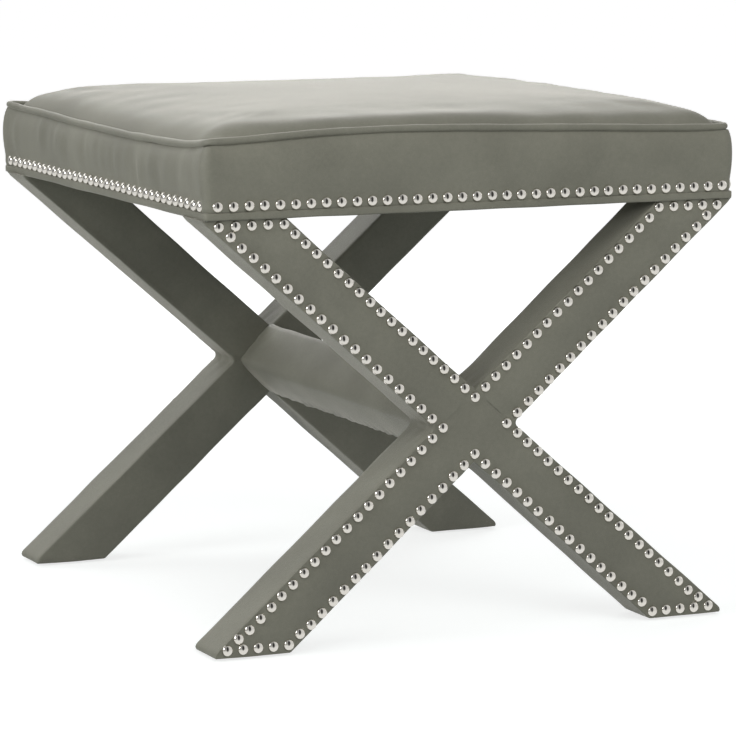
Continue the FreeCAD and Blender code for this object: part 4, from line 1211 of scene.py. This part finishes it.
class OTTOMAN_OT_stage(bpy.types.Operator):
    """Set the floor, the lamps, the backdrop and the camera"""

    bl_idname = "ottoman.stage"
    bl_label = "Stage"

    def softbox(self, name, power, size, place, mirrored=True):
        """A lamp of a width and height that looks at the ottoman, and that shiny surfaces mirror or not."""
        aim = Vector((0, 0, 0.35))
        bpy.ops.object.select_all(action="DESELECT")
        bpy.ops.object.light_add(type="AREA", location=place)
        lamp = bpy.context.active_object
        lamp.name = name
        lamp.data.energy = power
        lamp.data.shape = "RECTANGLE"
        lamp.data.size, lamp.data.size_y = size
        lamp.rotation_euler = (aim - Vector(place)).to_track_quat("-Z", "Y").to_euler()
        lamp.visible_camera = False
        lamp.visible_glossy = mirrored

    def floor(self, colour):
        """A pale floor that the camera sees as white, with the ottoman's shadow on it."""
        ground = added(bpy.ops.mesh.primitive_grid_add, x_subdivisions=2, y_subdivisions=2, size=80)
        ground.name = "floor"
        material, graph = new_material("pale_floor")
        place = graph.node("ShaderNodeTexCoord").out("Object")
        distance = graph.node("ShaderNodeVectorMath", {"operation": "LENGTH"}, {0: place}).out("Value")
        fade = graph.ease(distance, 0.5, 2.2, 0.74, 1.0)
        glow = graph.blend(fade * graph.seen(), grey(0), grey(1))
        graph.surface(Base_Color=opaque(colour), Roughness=1.0, Specular_IOR_Level=0.0,
                      Emission_Color=glow, Emission_Strength=1.0)
        ground.data.materials.append(material)
        ground.visible_glossy = False

    def grey_room(self):
        """A room that only shiny surfaces see: pale, dimmer at the upper left, dark in front, open behind."""
        radius = 4.5
        room = added(bpy.ops.mesh.primitive_uv_sphere_add, segments=48, ring_count=24, radius=radius)
        room.name = "grey_room"
        behind = Vector((0.4, 0.92, 0))
        before = Vector((0.05, -0.999, 0))
        beside = Vector((0.999, 0.05, 0))
        rightward = Vector((0.9, -0.436, 0))
        above = Vector((0, 0, 1))
        patch_height = 0.3
        patch_half_width = math.sin(math.radians(20))
        patch_half_height = math.sin(math.radians(40))

        def opening(face):
            centre = face.calc_center_median().normalized()
            level = Vector((centre.x, centre.y, 0)).normalized()
            return level.dot(behind) > 0.78 and 0 < centre.z < 0.64

        bpy.ops.object.mode_set(mode="EDIT")
        pick(room, "faces", opening)
        bpy.ops.mesh.delete(type="FACE")
        bpy.ops.object.mode_set(mode="OBJECT")
        material, graph = new_material("grey_room")
        place = graph.node("ShaderNodeTexCoord").out("Object")

        def along(direction, reach):
            return graph.node("ShaderNodeVectorMath", {"operation": "DOT_PRODUCT"}, {
                0: place, 1: direction / (radius * reach)}).out("Value")

        across = along(beside, patch_half_width)
        upward = (along(above, 1) - patch_height) * (1 / patch_half_height)
        off_centre = across * across + upward * upward
        dark = graph.ease(off_centre, 1.35, 0.4) * (along(before, 1) > 0)
        upper = graph.blend(graph.ease(along(rightward, 1), -0.6, 0.8), grey(0.25), grey(0.75))
        pale = graph.blend(graph.ease(along(above, 1), 0.1, -0.35), upper, grey(0.9))
        tone = graph.blend(dark, pale, grey(0.04))
        graph.surface(Base_Color=grey(0), Roughness=1.0, Specular_IOR_Level=0.0,
                      Emission_Color=tone, Emission_Strength=1.0)
        room.data.materials.append(material)
        room.visible_camera = False
        room.visible_diffuse = False
        room.visible_transmission = False
        room.visible_shadow = False

    def backdrop(self, sky):
        """White behind the ottoman and in its nails, and what light from all round the sky gives."""
        world = bpy.data.worlds.new("backdrop")
        bpy.context.scene.world = world
        graph = Graph(world)
        dim = graph.node("ShaderNodeBackground", {}, {"Color": grey(1), "Strength": sky})
        white = graph.node("ShaderNodeBackground", {}, {"Color": grey(1), "Strength": 1.0})
        mixed = graph.node("ShaderNodeMixShader", {}, {0: graph.seen(), 1: dim, 2: white})
        graph.node("ShaderNodeOutputWorld", {}, {"Surface": mixed})

    def camera(self, stage):
        """The camera at the place that the photograph was taken from."""
        turn, rise = stage.camera_azimuth, stage.camera_elevation
        back = Vector((math.sin(turn) * math.cos(rise), -math.cos(turn) * math.cos(rise), math.sin(rise)))
        right = Vector((math.cos(turn), math.sin(turn), 0))
        up = back.cross(right)
        bpy.ops.object.select_all(action="DESELECT")
        bpy.ops.object.camera_add()
        camera = bpy.context.active_object
        columns = Matrix((right, up, back)).transposed().to_4x4()
        camera.matrix_world = Matrix.Translation(Vector(stage.camera_place)) @ columns
        camera.data.lens = stage.lens
        camera.data.sensor_width = 36
        camera.data.clip_end = 200
        bpy.context.scene.camera = camera

    def execute(self, context):
        stage = context.scene.ottoman_stage
        context.scene.view_settings.view_transform = "Standard"
        self.camera(stage)
        self.floor(stage.floor_colour)
        self.grey_room()
        self.backdrop(stage.sky)
        self.softbox("left_lamp", stage.left_power, (1.5, 1.2), (-2.6, -0.4, 1.2))
        self.softbox("front_lamp", stage.front_power, (1.6, 1.6), (-0.5, -1.75, 2.6), False)
        self.softbox("low_lamp", stage.low_power, (1.6, 1.0), (0.1, -2.6, 1.4), False)
        self.softbox("right_lamp", stage.right_power, (1.2, 1.2), (2.8, -0.34, 1.3))
        self.softbox("rear_lamp", stage.rear_power, (2.2, 1.6), (0.4, 1.7, 2.2))
        self.softbox("back_lamp", stage.back_power, (2.0, 1.2), (1.1, 2.5, 1.35))
        self.softbox("rear_left_lamp", stage.rear_left_power, (1.6, 1.2), (-1.4, 1.8, 1.6))
        return {"FINISHED"}


STEPS = (
    OTTOMAN_OT_stage,
    OTTOMAN_OT_x_covers,
    OTTOMAN_OT_stretcher_wrap,
    OTTOMAN_OT_base_strip,
    OTTOMAN_OT_seat_band,
    OTTOMAN_OT_seat_welt,
    OTTOMAN_OT_seat_cushion,
    OTTOMAN_OT_nails,
    OTTOMAN_OT_frame_finishes,
)
SETTINGS = {
    "ottoman_seat": SeatSizes,
    "ottoman_legs": LegSizes,
    "ottoman_nails": NailSizes,
    "ottoman_finish": FinishColours,
    "ottoman_stage": StageSizes,
}


class OTTOMAN_PT_panel(bpy.types.Panel):
    """The ottoman's sizes, colours and steps"""

    bl_idname = "OTTOMAN_PT_panel"
    bl_label = "Ottoman"
    bl_space_type = "VIEW_3D"
    bl_region_type = "UI"
    bl_category = "Ottoman"

    def draw(self, context):
        for step in STEPS:
            self.layout.operator(step.bl_idname)
        for name, group in SETTINGS.items():
            box = self.layout.box()
            box.label(text=group.__doc__)
            for prop in group.__annotations__:
                box.prop(getattr(context.scene, name), prop)


def register():
    for group in SETTINGS.values():
        bpy.utils.register_class(group)
    for name, group in SETTINGS.items():
        setattr(bpy.types.Scene, name, PointerProperty(type=group))
    for step in STEPS:
        bpy.utils.register_class(step)
    bpy.utils.register_class(OTTOMAN_PT_panel)


def unregister():
    bpy.utils.unregister_class(OTTOMAN_PT_panel)
    for step in reversed(STEPS):
        bpy.utils.unregister_class(step)
    for name, group in SETTINGS.items():
        delattr(bpy.types.Scene, name)
        bpy.utils.unregister_class(group)


def main():
    register()
    bpy.ops.ottoman.stage()
    bpy.ops.ottoman.x_covers()
    bpy.ops.ottoman.stretcher_wrap()
    bpy.ops.ottoman.base_strip()
    bpy.ops.ottoman.seat_band()
    bpy.ops.ottoman.seat_welt()
    bpy.ops.ottoman.seat_cushion()
    bpy.ops.ottoman.nails()
    bpy.ops.ottoman.frame_finishes()


if __name__ == "__main__":
    main()
